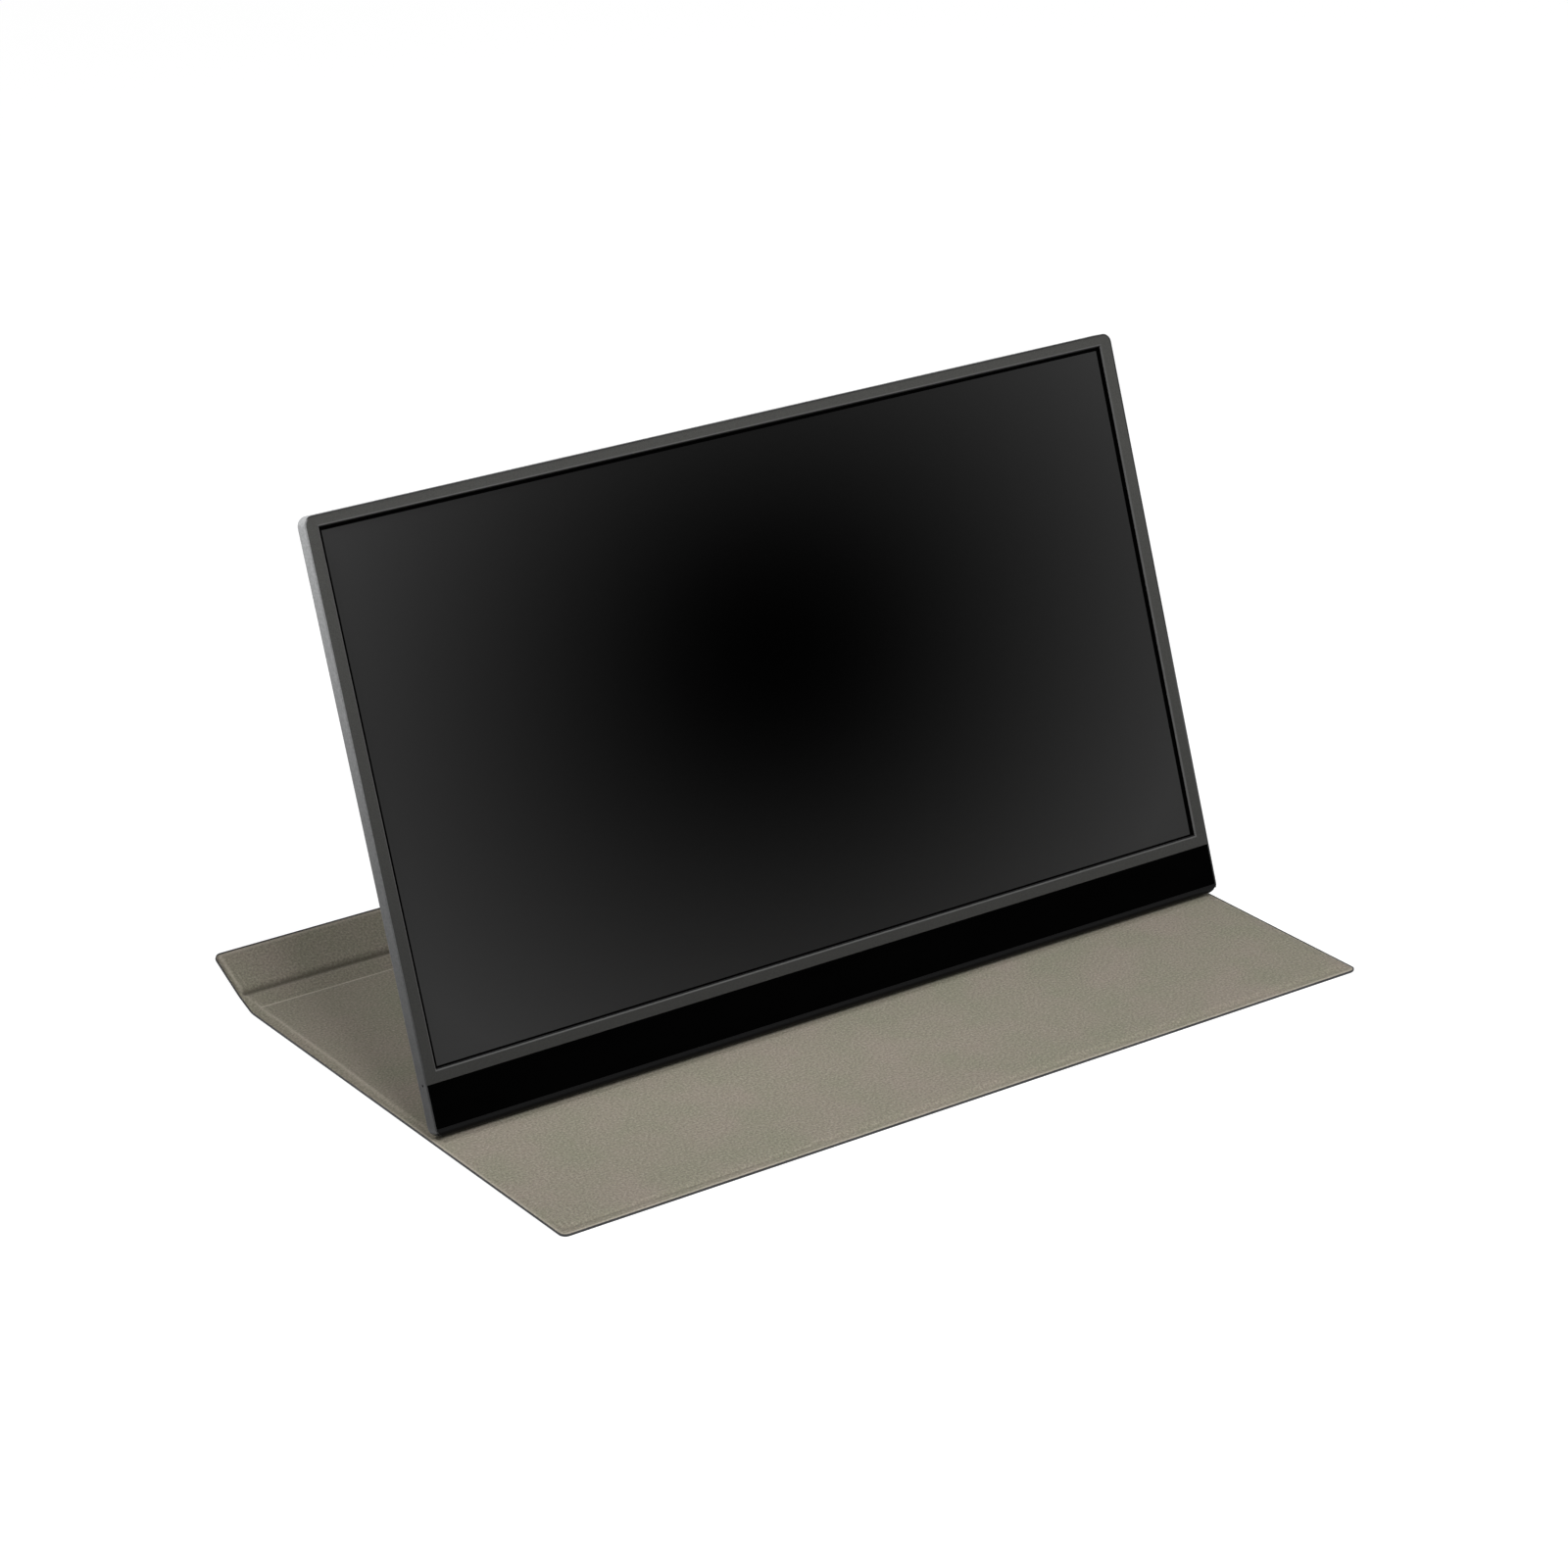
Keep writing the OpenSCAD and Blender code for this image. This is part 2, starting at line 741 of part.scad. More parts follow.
// Back cover of the thick lower half
module rear_housing() {
    color("#3d3f42")
        on_display()
            difference() {
                union() {
                    difference() {
                        intersection() {
                            across([-housing_w / 2, housing_w / 2]) housing_section(0);
                            screen_plate(housing_w, housing_high - housing_low, 6, housing_low,
                                         edge_t, full_t);
                        }
                        // rooms at the sides, and the shallow one under the kickstand
                        both_sides()
                            across([recess_half + housing_wall, housing_in])
                                housing_section(housing_wall);
                        block([-recess_half, recess_half],
                              [edge_t - cut, stand_in - recess_gap - recess_floor_t],
                              [crank_up + 3, hinge_up - knuckle_r - 2.2]);
                        block([-recess_half, recess_half],
                              [edge_t - cut, hinge_depth - knuckle_r - 1.6],
                              [crank_up + 3, housing_top]);
                        block([-recess_half, recess_half], [edge_t - cut, housing_back_in],
                              [hinge_up + knuckle_r + 2, housing_top - 0.5]);
                        // passages between the rooms
                        both_sides()
                            block([recess_half - cut, recess_half + housing_wall + cut],
                                  [edge_t - cut, board_back], passage_up);
                    }
                    for (place = housing_screw_places)
                        post(screw_r + 1.4, place[0], [edge_t, housing_back_in + 0.5], place[1]);
                    for (place = board_screw_places)
                        post(2.2, place[0], [board_back, housing_back_in + 0.5], place[1]);
                    for (place = bracket_screw_places)
                        post(2.5, place[0], [bracket_depth + bracket_t, housing_back_in + 0.5], place[1]);
                }
                stand_recess();
                // slots for the arms of the hinge brackets
                both_sides()
                    block([bracket_x - 0.3, bracket_x + bracket_w + 0.3],
                          [bracket_depth - 0.3, bracket_depth + bracket_t + 0.3],
                          [hinge_up, hinge_up + knuckle_r + 2 + cut]);
                // screw holes
                for (place = housing_screw_places) {
                    post(screw_r + running, place[0], [edge_t - cut, full_t + cut], place[1]);
                    post(screw_head_r + running, place[0], [full_t - screw_head_h, full_t + cut],
                         place[1]);
                }
                for (place = board_screw_places)
                    post(0.8, place[0], [board_back - cut, board_screw_tip + 0.2], place[1]);
                for (place = bracket_screw_places)
                    post(0.8, place[0], [bracket_depth, bracket_screw_tip + 0.1], place[1]);
                // holes for the ports
                rod(jack_collar_r + port_gap, [housing_in - cut, flank_x + cut], port_depth, jack_up);
                for (up = usb_up)
                    rounded_port([housing_in - cut, flank_x + cut], up, usb_size, port_gap);
                hdmi_port([housing_in - cut, flank_x + cut], hdmi_size, port_gap);
                // holes for the controls
                mirror([1, 0, 0]) {
                    rounded_port([housing_in - cut, flank_x + cut], power_up, power_size, port_gap);
                    rod(nav_hole_r, [housing_in - cut, flank_x + cut], port_depth, nav_up);
                }
                // sound slots through the lower flank
                both_sides()
                    for (i = [0 : slot_count - 1])
                        translate([speaker_x + 2.5 + i * slot_pitch, edge_t + 2.5, housing_low - 2])
                            rotate([-crank_angle, 0, 0])
                                translate([0, -1, 2])
                                    cube([slot_size[0], 4, slot_size[2]]);
            }
}

screw_head_r = 1.9;
screw_head_h = 1.2;

// Screw along the thickness: a round head with a cross slot, and its shank
module screw(place, head_back, head_h, head_r, shank_r, tip) {
    outward = sign(head_back - tip);
    inner = head_back - outward * head_h;
    difference() {
        union() {
            post(head_r, place[0], [min(head_back, inner), max(head_back, inner)], place[1]);
            post(shank_r, place[0], [min(inner, tip), max(inner, tip)], place[1]);
        }
        for (turn = [0, 90])
            translate([place[0], head_back, place[1]])
                rotate([0, turn, 0])
                    cube([0.4, head_h, head_r * 1.3], center = true);
    }
}

// Screws from the back, through the housing into the shell
module housing_screws() {
    color("#2a2a2c")
        on_display()
            for (place = housing_screw_places)
                screw(place, full_t - 0.1, screw_head_h - 0.1, screw_head_r, screw_r, shell_back_in + 0.1);
}

board_screw_places = [
    [board_x + 4, board_low + 12], [board_x + 4, board_high - 4], [housing_in - 14, board_low + 13]
];

// Main board with the ports along its outer edge
module main_board() {
    color("#1f6b45")
        on_display()
            difference() {
                block([board_x, housing_in - 0.8], [board_front, board_back], [board_low, board_high]);
                for (place = board_screw_places)
                    post(screw_r + 0.1, place[0], [board_front - cut, board_back + cut], place[1]);
                // room for the headphone socket, which sits in the board's edge
                block([jack_in - 0.2, flank_x], [board_front - cut, board_back + cut],
                      [jack_up - jack_body[2] / 2 - 0.2, jack_up + jack_body[2] / 2 + 0.2]);
            }
}

// Scaler, flash memory, power controller and regulator
chips = [[16, 16, 14, 14, 1.4], [14, 36, 6, 5, 1], [26, 38, 5, 5, 0.9], [34, 30, 7, 7, 1.8]];

module board_chips() {
    color("#222426")
        on_display()
            for (chip = chips)
                block([board_x + chip[0], board_x + chip[0] + chip[2]],
                      [board_back, board_back + chip[4]],
                      [board_low + chip[1], board_low + chip[1] + chip[3]]);
}

module board_screws() {
    color("#c7c9cc")
        on_display()
            for (place = board_screw_places)
                screw(place, board_front - 0.8, 0.8, 1.6, 0.8, board_screw_tip);
}

// Rounded slot across the flank, of a port or button
module rounded_port(x, up, size, extra) {
    w = size[0] + 2 * extra;
    h = size[1] + 2 * extra;
    translate([0, port_depth, up])
        rotate([90, 0, 90])
            translate([0, 0, x[0]])
                linear_extrude(x[1] - x[0])
                    union() {
                        square([h, w - h], center = true);
                        for (side = [-1, 1]) translate([0, side * (w - h) / 2]) circle(h / 2);
                    }
}

port_in = flank_x - 8.2;
port_mouth = flank_x - 0.2;
usb_size = [8.9, 3.2];
usb_wall = 0.3;

// Metal shells of the two reversible sockets
module usb_c_shells() {
    color("#c4c6c9")
        on_display()
            for (up = usb_up)
                difference() {
                    rounded_port([port_in, port_mouth], up, usb_size, 0);
                    rounded_port([port_in + 1, port_mouth + cut], up, usb_size, -usb_wall);
                }
}

module usb_c_tongues() {
    color("#161617")
        on_display()
            for (up = usb_up)
                block([port_in + 1, port_mouth - 1], [port_depth - 0.35, port_depth + 0.35],
                      [up - 3.3, up + 3.3]);
}

hdmi_size = [11.2, 3.2];
hdmi_wall = 0.35;

// Tapered outline of the small video socket
module hdmi_port(x, size, extra) {
    w = size[0] / 2 + extra;
    h = size[1] / 2 + extra;
    taper = 1.1;
    translate([0, port_depth, hdmi_up])
        across(x)
            polygon([[h, -w], [h, w], [-h + taper, w], [-h, w - taper], [-h, -w + taper], [-h + taper, -w]]);
}

module mini_hdmi_shell() {
    color("#c4c6c9")
        on_display()
            difference() {
                hdmi_port([port_in, port_mouth], hdmi_size, 0);
                hdmi_port([port_in + 1, port_mouth + cut], hdmi_size, -hdmi_wall);
            }
}

module mini_hdmi_tongue() {
    color("#161617")
        on_display()
            block([port_in + 1, port_mouth - 1], [port_depth - 0.4, port_depth + 0.4],
                  [hdmi_up - 4, hdmi_up + 4]);
}

jack_collar_r = 2.9;
jack_body = [13, 5.2, 6.4];
jack_in = housing_in - 0.3 - jack_body[0];

// Headphone socket with its round collar
module audio_jack() {
    color("#1b1b1c")
        on_display()
            difference() {
                union() {
                    block([jack_in, jack_in + jack_body[0]],
                          [port_depth - jack_body[1] / 2, port_depth + jack_body[1] / 2],
                          [jack_up - jack_body[2] / 2, jack_up + jack_body[2] / 2]);
                    rod(jack_collar_r, [housing_in - 0.3, flank_x - 0.1], port_depth, jack_up);
                }
                rod(jack_r, [flank_x - 0.1 - jack_depth, flank_x + cut], port_depth, jack_up);
            }
}

// ---------- controls ----------

power_size = [9, 3.4];
power_rear = 3.6;
control_x = flank_x - 8.1;
control_t = 1;
nav_hole_r = 3.6;
nav_cap_r = 2.7;
nav_centre = flank_x - 4.3;

// Upright board behind the left flank
module control_board() {
    color("#1f6b45")
        on_display()
            mirror([1, 0, 0])
                block([control_x - control_t, control_x], [board_front, port_depth + 2.4],
                      [nav_up - 8, housing_top - 2]);
}

// Key switch behind the power button
module power_switch() {
    color("#d9d9d6")
        on_display()
            mirror([1, 0, 0]) {
                block([control_x, control_x + 2.6], [port_depth - 2, port_depth + 2],
                      [power_up - 2, power_up + 2]);
                rod(0.8, [control_x + 2.6, flank_x - power_rear - power_travel - gap], port_depth, power_up);
            }
}

// Pill-shaped button with a retaining flange behind the wall
module power_button() {
    color("#8f9294")
        on_display()
            mirror([1, 0, 0]) {
                rounded_port([flank_x - power_rear, flank_x + 0.5], power_up, power_size, 0);
                rounded_port([housing_in - 0.1 - 0.6, housing_in - 0.1], power_up, power_size, 0.8);
            }
}

nav_base_in = control_x;
nav_base_out = flank_x - 3.1;
nav_bore_r = 2.5;
nav_floor = control_x + 0.6;

// Cup of the five-way switch
module nav_switch() {
    color("#2b2b2d")
        on_display()
            mirror([1, 0, 0])
                difference() {
                    block([nav_base_in, nav_base_out], [port_depth - 3.5, port_depth + 2.7],
                          [nav_up - 3.5, nav_up + 3.5]);
                    rod(nav_bore_r, [nav_floor, nav_base_out + cut], port_depth, nav_up);
                }
}

nav_plunger_x = [nav_floor + nav_travel + gap, nav_floor + nav_travel + gap + 0.8];

// Disc with a neck, which slides in the cup when the stick is pressed
module nav_plunger() {
    color("#c7c9cc")
        on_display()
            mirror([1, 0, 0])
                union() {
                    rod(nav_bore_r - running, nav_plunger_x, port_depth, nav_up);
                    rod(0.6, [nav_plunger_x[0], nav_centre - 0.65], port_depth, nav_up);
                }
}

// Ring that rocks up and down and carries the stick
module nav_gimbal() {
    color("#d2b35c")
        on_display()
            mirror([1, 0, 0])
                difference() {
                    rod(2.1, [nav_centre - 0.4, nav_centre + 0.4], port_depth, nav_up);
                    rod(1.2, [nav_centre - cut, nav_centre + cut], port_depth, nav_up);
                }
}

// Stick with its round cap
module nav_cap() {
    color("#2b2b2d")
        on_display()
            mirror([1, 0, 0]) {
                rod(0.8, [nav_centre - 0.5, flank_x - 0.8], port_depth, nav_up);
                rod(nav_cap_r, [flank_x - 0.9, flank_x + 1], port_depth, nav_up);
                rod(nav_cap_r - 0.8, [flank_x + 1, flank_x + 1.3], port_depth, nav_up);
            }
}

ribbon_up = nav_up - 8;
ribbon_w = 6;

// Flat cable from the controls to the main board
module control_cable() {
    color("#c9a35b")
        on_display()
            block([-control_x, board_x + 8], [board_front - cable_t, board_front],
                  [ribbon_up, ribbon_up + ribbon_w]);
}

// ---------- sound ----------

// Closed speaker boxes behind the lower flank
module speaker_boxes() {
    color("#2a2a2c")
        on_display()
            both_sides()
                translate([speaker_x, edge_t + 0.6, speaker_low])
                    cube(speaker_size);
}

wire_r = 0.5;
wire_depth = edge_t + 0.6;

// Leads from both speakers to the main board
module speaker_wires() {
    up = speaker_low + speaker_size[2] + wire_r;
    color("#b03a2e")
        on_display() {
            rod(wire_r, [-speaker_x - 10, speaker_x + 10], wire_depth, up);
            translate([board_x + 6, wire_depth, up]) cylinder(r = wire_r, h = board_low + 8 - up);
        }
}

// ---------- kickstand ----------

bracket_screw_places = [for (side = [-1, 1], x = bracket_screw_x)
    [side * (bracket_x - 4 + x), bracket_base_low + 4.5]];

// Fixed halves of the two friction hinges
module hinge_brackets() {
    color("#85888c")
        on_display()
            difference() {
                both_sides() {
                    rod(knuckle_r, [bracket_x, bracket_x + bracket_w], hinge_depth, hinge_up);
                    block([bracket_x, bracket_x + bracket_w], [bracket_depth, bracket_depth + bracket_t],
                          [hinge_up, bracket_base_low + 1]);
                    block([bracket_x - 4, bracket_x - 4 + bracket_base_w],
                          [bracket_depth, bracket_depth + bracket_t],
                          [bracket_base_low, bracket_base_low + bracket_base_h]);
                }
                both_sides() rod(hinge_pin_r, [bracket_x - cut, bracket_x + bracket_w + cut],
                                 hinge_depth, hinge_up);
                for (place = bracket_screw_places)
                    post(1, place[0], [bracket_depth - cut, bracket_depth + bracket_t + cut], place[1]);
            }
}

module bracket_screws() {
    color("#c7c9cc")
        on_display()
            for (place = bracket_screw_places)
                screw(place, bracket_depth - 0.8, 0.8, 1.7, 0.8, bracket_screw_tip);
}

pin_reach = 13;

// Steel pins, pressed into the brackets and turning in the kickstand
module hinge_pins() {
    color("#c7c9cc")
        on_display()
            both_sides()
                rod(hinge_pin_r, [bracket_x - pin_reach, bracket_x + bracket_w + pin_reach - 1],
                    hinge_depth, hinge_up);
}

// Plate with a bent toe, knuckles along its upper edge and a finger notch below
module kickstand_leg() {
    color("#6d7073")
        on_stand()
            difference() {
                union() {
                    across([-stand_w / 2, stand_w / 2]) stand_section(0);
                    rod(knuckle_r, [-stand_w / 2, stand_w / 2], hinge_depth, hinge_up);
                }
                // gaps for the fixed knuckles
                both_sides()
                    block([bracket_x - gap, bracket_x + bracket_w + gap], [0, full_t + cut],
                          [hinge_up - knuckle_r - recess_gap, hinge_up + knuckle_r + cut]);
                both_sides()
                    rod(hinge_pin_r + running,
                        [bracket_x - pin_reach - 0.3, bracket_x + bracket_w + pin_reach - 0.7],
                        hinge_depth, hinge_up);
                post(notch_r, 0, [0, full_t + cut], 0);
                // the rubber feet take the last stretch of the toe
                block([-stand_w, stand_w], [0, full_t], [-foot_r, pivot_up + 0.2]);
            }
}

// Rubber strips along the toe
module kickstand_feet() {
    color("#1a1a1a")
        on_stand()
            difference() {
                rod(foot_r, [-stand_w / 2, stand_w / 2], pivot_depth, pivot_up);
                difference() {
                    across([-stand_w, stand_w]) stand_section(0);
                    block([-2 * stand_w, 2 * stand_w], [0, full_t], [-foot_r, pivot_up + 0.2]);
                }
                post(notch_r, 0, [0, full_t + cut], 0);
            }
}

// ---------- assembly ----------

cover_board();
cover_lining();
cover_skin();
cover_magnets();
spine_lining();
spine_skin();
flap_board();
flap_lining();
flap_skin();
flap_magnets();
display_feet();
rear_shell();
front_bezel();
chin_panel();
bottom_lip();
lcd_glass();
optical_films();
light_guide();
led_strip();
reflector_sheet();
panel_tray();
mounting_tape();
shell_magnets();
driver_board();
panel_cable();
rear_housing();
housing_screws();
main_board();
board_chips();
board_screws();
audio_jack();
usb_c_shells();
usb_c_tongues();
mini_hdmi_shell();
mini_hdmi_tongue();
control_board();
power_switch();
nav_switch();
control_cable();
speaker_boxes();
speaker_wires();
hinge_brackets();
bracket_screws();
hinge_pins();
kickstand_leg();
kickstand_feet();
power_button();
nav_plunger();
nav_gimbal();
nav_cap();
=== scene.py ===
"""Looks of the portable monitor that stands on its spread-out folding cover."""

import json
import math

import bmesh
import bpy
from mathutils import Matrix, Vector


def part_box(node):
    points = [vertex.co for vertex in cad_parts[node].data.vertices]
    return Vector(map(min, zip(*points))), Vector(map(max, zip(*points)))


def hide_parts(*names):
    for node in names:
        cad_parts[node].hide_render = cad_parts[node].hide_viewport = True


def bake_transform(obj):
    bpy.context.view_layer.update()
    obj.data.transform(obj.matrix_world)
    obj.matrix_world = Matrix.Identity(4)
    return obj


MM = 0.001

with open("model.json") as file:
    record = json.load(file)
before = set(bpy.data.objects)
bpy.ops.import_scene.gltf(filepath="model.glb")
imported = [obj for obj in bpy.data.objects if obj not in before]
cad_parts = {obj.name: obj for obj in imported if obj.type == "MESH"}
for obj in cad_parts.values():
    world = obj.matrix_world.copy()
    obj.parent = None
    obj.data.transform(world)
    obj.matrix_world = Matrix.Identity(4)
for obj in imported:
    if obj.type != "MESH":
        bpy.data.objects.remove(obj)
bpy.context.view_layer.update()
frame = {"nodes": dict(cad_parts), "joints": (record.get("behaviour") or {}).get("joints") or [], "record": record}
bpy.context.scene.view_settings.view_transform = "Standard"
nodes = frame["nodes"]
joints = {joint["name"]: joint for joint in frame["joints"]}


def raised_at_rest(joint_name):
    """Angle by which a fold is already raised at rest, from its lower limit, in radians."""
    return -math.radians(joints[joint_name]["range_deg"][0])


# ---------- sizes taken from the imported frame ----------

SKIN_LOW, SKIN_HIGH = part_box("cover_skin")
LINING_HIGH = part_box("cover_lining")[1]
COVER_WIDTH = SKIN_HIGH.x - SKIN_LOW.x
FRONT = SKIN_LOW.y
HEM_TOP = joints["first_fold"]["pos_m"][2]
PANEL_TOP = LINING_HIGH.z
FOLD_1 = joints["first_fold"]["pos_m"][1]
fold_step = Vector(joints["second_fold"]["pos_m"]) - Vector(joints["first_fold"]["pos_m"])
FOLD_2 = FOLD_1 + fold_step.length
SPINE_RISE = raised_at_rest("first_fold")
FLAP_RISE = SPINE_RISE + raised_at_rest("second_fold")
FLAP_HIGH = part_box("flap_lining")[1]
TIP = FOLD_2 + (FLAP_HIGH.y - joints["second_fold"]["pos_m"][1]) / math.cos(FLAP_RISE)
MID_SPINE = (FOLD_1 + FOLD_2) / 2
# Radius of the cover's corners
CORNER = 3 * MM

GLASS_LOW, GLASS_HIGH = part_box("lcd_glass")
GLASS_CENTRE = (GLASS_LOW + GLASS_HIGH) / 2
LEAN = math.atan2(GLASS_HIGH.y - GLASS_LOW.y, GLASS_HIGH.z - GLASS_LOW.z)
GLASS_TALL = (GLASS_HIGH.z - GLASS_LOW.z) / math.cos(LEAN)
# How far the glass reaches behind the bezel at the sides, the top and the bottom
HIDDEN_SIDE = 2 * MM
HIDDEN_TOP = 2.5 * MM
HIDDEN_BOTTOM = 7.4 * MM
OPENING_WIDE = GLASS_HIGH.x - GLASS_LOW.x - 2 * HIDDEN_SIDE
OPENING_TALL = GLASS_TALL - HIDDEN_TOP - HIDDEN_BOTTOM
OPENING_RAISED = (HIDDEN_BOTTOM - HIDDEN_TOP) / 2
# From the display's front face back to the middle of the glass
FRONT_TO_GLASS = 1.5 * MM


# ---------- finishes ----------

class Finish:
    """A node material for one finish, with the steps that give it its detail."""

    def __init__(self, name, colour, roughness, metallic=0.0, specular=0.5, follows_surface=False):
        self.material = bpy.data.materials.new(name)
        self.material.use_nodes = True
        self.tree = self.material.node_tree
        self.shader = self.tree.nodes["Principled BSDF"]
        self.shader.inputs["Base Color"].default_value = (*colour, 1.0)
        self.shader.inputs["Roughness"].default_value = roughness
        self.shader.inputs["Metallic"].default_value = metallic
        self.shader.inputs["Specular IOR Level"].default_value = specular
        self.colour = colour
        self.roughness = roughness
        place = self.tree.nodes.new("ShaderNodeTexCoord")
        self.place = place.outputs["UV" if follows_surface else "Object"]

    def link(self, start, end):
        self.tree.links.new(start, end)

    def stretched(self, scale):
        """The pattern's coordinates, scaled apart along each axis."""
        mapping = self.tree.nodes.new("ShaderNodeMapping")
        mapping.inputs["Scale"].default_value = scale
        self.link(self.place, mapping.inputs["Vector"])
        return mapping.outputs["Vector"]

    def grain(self, size, detail=4.0, scale=(1, 1, 1)):
        """Irregular grain with cells of the given size in metres."""
        noise = self.tree.nodes.new("ShaderNodeTexNoise")
        noise.inputs["Scale"].default_value = 1.0 / size
        noise.inputs["Detail"].default_value = detail
        noise.inputs["Roughness"].default_value = 0.6
        self.link(self.stretched(scale), noise.inputs["Vector"])
        return noise.outputs["Fac"]

    def cells(self, size):
        """Pebbled cells of the given size in metres."""
        pebbles = self.tree.nodes.new("ShaderNodeTexVoronoi")
        pebbles.inputs["Scale"].default_value = 1.0 / size
        self.link(self.place, pebbles.inputs["Vector"])
        return pebbles.outputs["Distance"]

    def spread(self, amount, low, high, start=0.3, end=0.7):
        """The amount between start and end, spread over low to high."""
        span = self.tree.nodes.new("ShaderNodeMapRange")
        span.inputs["From Min"].default_value = start
        span.inputs["From Max"].default_value = end
        span.inputs["To Min"].default_value = low
        span.inputs["To Max"].default_value = high
        self.link(amount, span.inputs["Value"])
        return span.outputs["Result"]

    def tint(self, amount, darker, lighter, start=0.3, end=0.7):
        """Lets the colour vary between a darker and a lighter share of itself."""
        self.blend_colours(
            self.spread(amount, 0.0, 1.0, start, end),
            [part * darker for part in self.colour],
            [min(1.0, part * lighter) for part in self.colour],
        )

    def blend_colours(self, amount, first, second):
        mix = self.tree.nodes.new("ShaderNodeMix")
        mix.data_type = "RGBA"
        mix.inputs["A"].default_value = (*first, 1.0)
        mix.inputs["B"].default_value = (*second, 1.0)
        self.link(amount, mix.inputs["Factor"])
        self.onto_colour(mix.outputs["Result"])

    def onto_colour(self, colour):
        self.link(colour, self.shader.inputs["Base Color"])

    def over(self, amount, colour):
        """Lays a second colour over what the finish already has, where the amount is high."""
        under = self.shader.inputs["Base Color"].links[0].from_socket
        mix = self.tree.nodes.new("ShaderNodeMix")
        mix.data_type = "RGBA"
        mix.inputs["B"].default_value = (*colour, 1.0)
        self.link(under, mix.inputs["A"])
        self.link(amount, mix.inputs["Factor"])
        self.onto_colour(mix.outputs["Result"])

    def polish(self, amount, change):
        """Lets the roughness vary by the given change either way."""
        low, high = self.roughness - change, self.roughness + change
        self.link(self.spread(amount, low, high), self.shader.inputs["Roughness"])

    def on_panel(self, raised=0.0, aside=0.0):
        """Place in the leaning panel's own axes, from a point up and aside of the glass's middle."""
        mapping = self.tree.nodes.new("ShaderNodeMapping")
        mapping.vector_type = "TEXTURE"
        up_panel = Vector((0, math.sin(LEAN), math.cos(LEAN)))
        mapping.inputs["Location"].default_value = GLASS_CENTRE + up_panel * raised + Vector((aside, 0, 0))
        mapping.inputs["Rotation"].default_value = (-LEAN, 0, 0)
        self.link(self.place, mapping.inputs["Vector"])
        return mapping.outputs["Vector"]

    def past_opening(self, raised=0.0, aside=0.0):
        """Distance outwards from the screen opening's edge, or from that edge moved up and aside."""
        outwards = self.tree.nodes.new("ShaderNodeVectorMath")
        outwards.operation = "ABSOLUTE"
        self.link(self.on_panel(OPENING_RAISED + raised, aside), outwards.inputs[0])
        beyond = self.tree.nodes.new("ShaderNodeVectorMath")
        beyond.operation = "SUBTRACT"
        beyond.inputs[1].default_value = (OPENING_WIDE / 2, 0, OPENING_TALL / 2)
        self.link(outwards.outputs["Vector"], beyond.inputs[0])
        axes = self.tree.nodes.new("ShaderNodeSeparateXYZ")
        self.link(beyond.outputs["Vector"], axes.inputs["Vector"])
        farther = self.tree.nodes.new("ShaderNodeMath")
        farther.operation = "MAXIMUM"
        self.link(axes.outputs["X"], farther.inputs[0])
        self.link(axes.outputs["Z"], farther.inputs[1])
        return farther.outputs["Value"]

    def painted_shade_front_rim(self):
        """Mask of painted shade: 1 on the narrow front face of the shell beside and above the bezel, except on the
        left.
        """
        axes = self.tree.nodes.new("ShaderNodeSeparateXYZ")
        self.link(self.on_panel(), axes.inputs["Vector"])
        left_rim = -COVER_WIDTH / 2 + 1 * MM
        # Depth just behind the front face, measured from the middle of the glass
        rim_start = 0.05 * MM - FRONT_TO_GLASS
        in_front = self.spread(axes.outputs["Y"], 1.0, 0.0, rim_start, rim_start + 0.1 * MM)
        beyond_left = self.spread(axes.outputs["X"], 0.0, 1.0, left_rim, left_rim + 1 * MM)
        both = self.tree.nodes.new("ShaderNodeMath")
        both.operation = "MULTIPLY"
        self.link(in_front, both.inputs[0])
        self.link(beyond_left, both.inputs[1])
        return both.outputs["Value"]

    def paint_shade_towards_foot(self, at_foot, at_top, slant=0.0):
        """Paints shade into the colour, deepening it from the panel's top down to its foot, and across by the
        slant.
        """
        along = self.tree.nodes.new("ShaderNodeVectorMath")
        along.operation = "DOT_PRODUCT"
        along.inputs[1].default_value = (slant, 0, 1)
        self.link(self.on_panel(), along.inputs[0])
        half = GLASS_TALL / 2
        painted_shade_level = self.spread(along.outputs["Value"], at_foot, at_top, -half, half)
        mix = self.tree.nodes.new("ShaderNodeMix")
        mix.data_type = "RGBA"
        mix.blend_type = "MULTIPLY"
        mix.inputs["Factor"].default_value = 1.0
        self.link(self.shader.inputs["Base Color"].links[0].from_socket, mix.inputs["A"])
        self.link(painted_shade_level, mix.inputs["B"])
        self.onto_colour(mix.outputs["Result"])

    def relief(self, amount, depth, strength=0.6):
        """Raises the surface by the amount, to a depth in metres."""
        bump = self.tree.nodes.new("ShaderNodeBump")
        bump.inputs["Strength"].default_value = strength
        bump.inputs["Distance"].default_value = depth
        self.link(amount, bump.inputs["Height"])
        self.link(bump.outputs["Normal"], self.shader.inputs["Normal"])


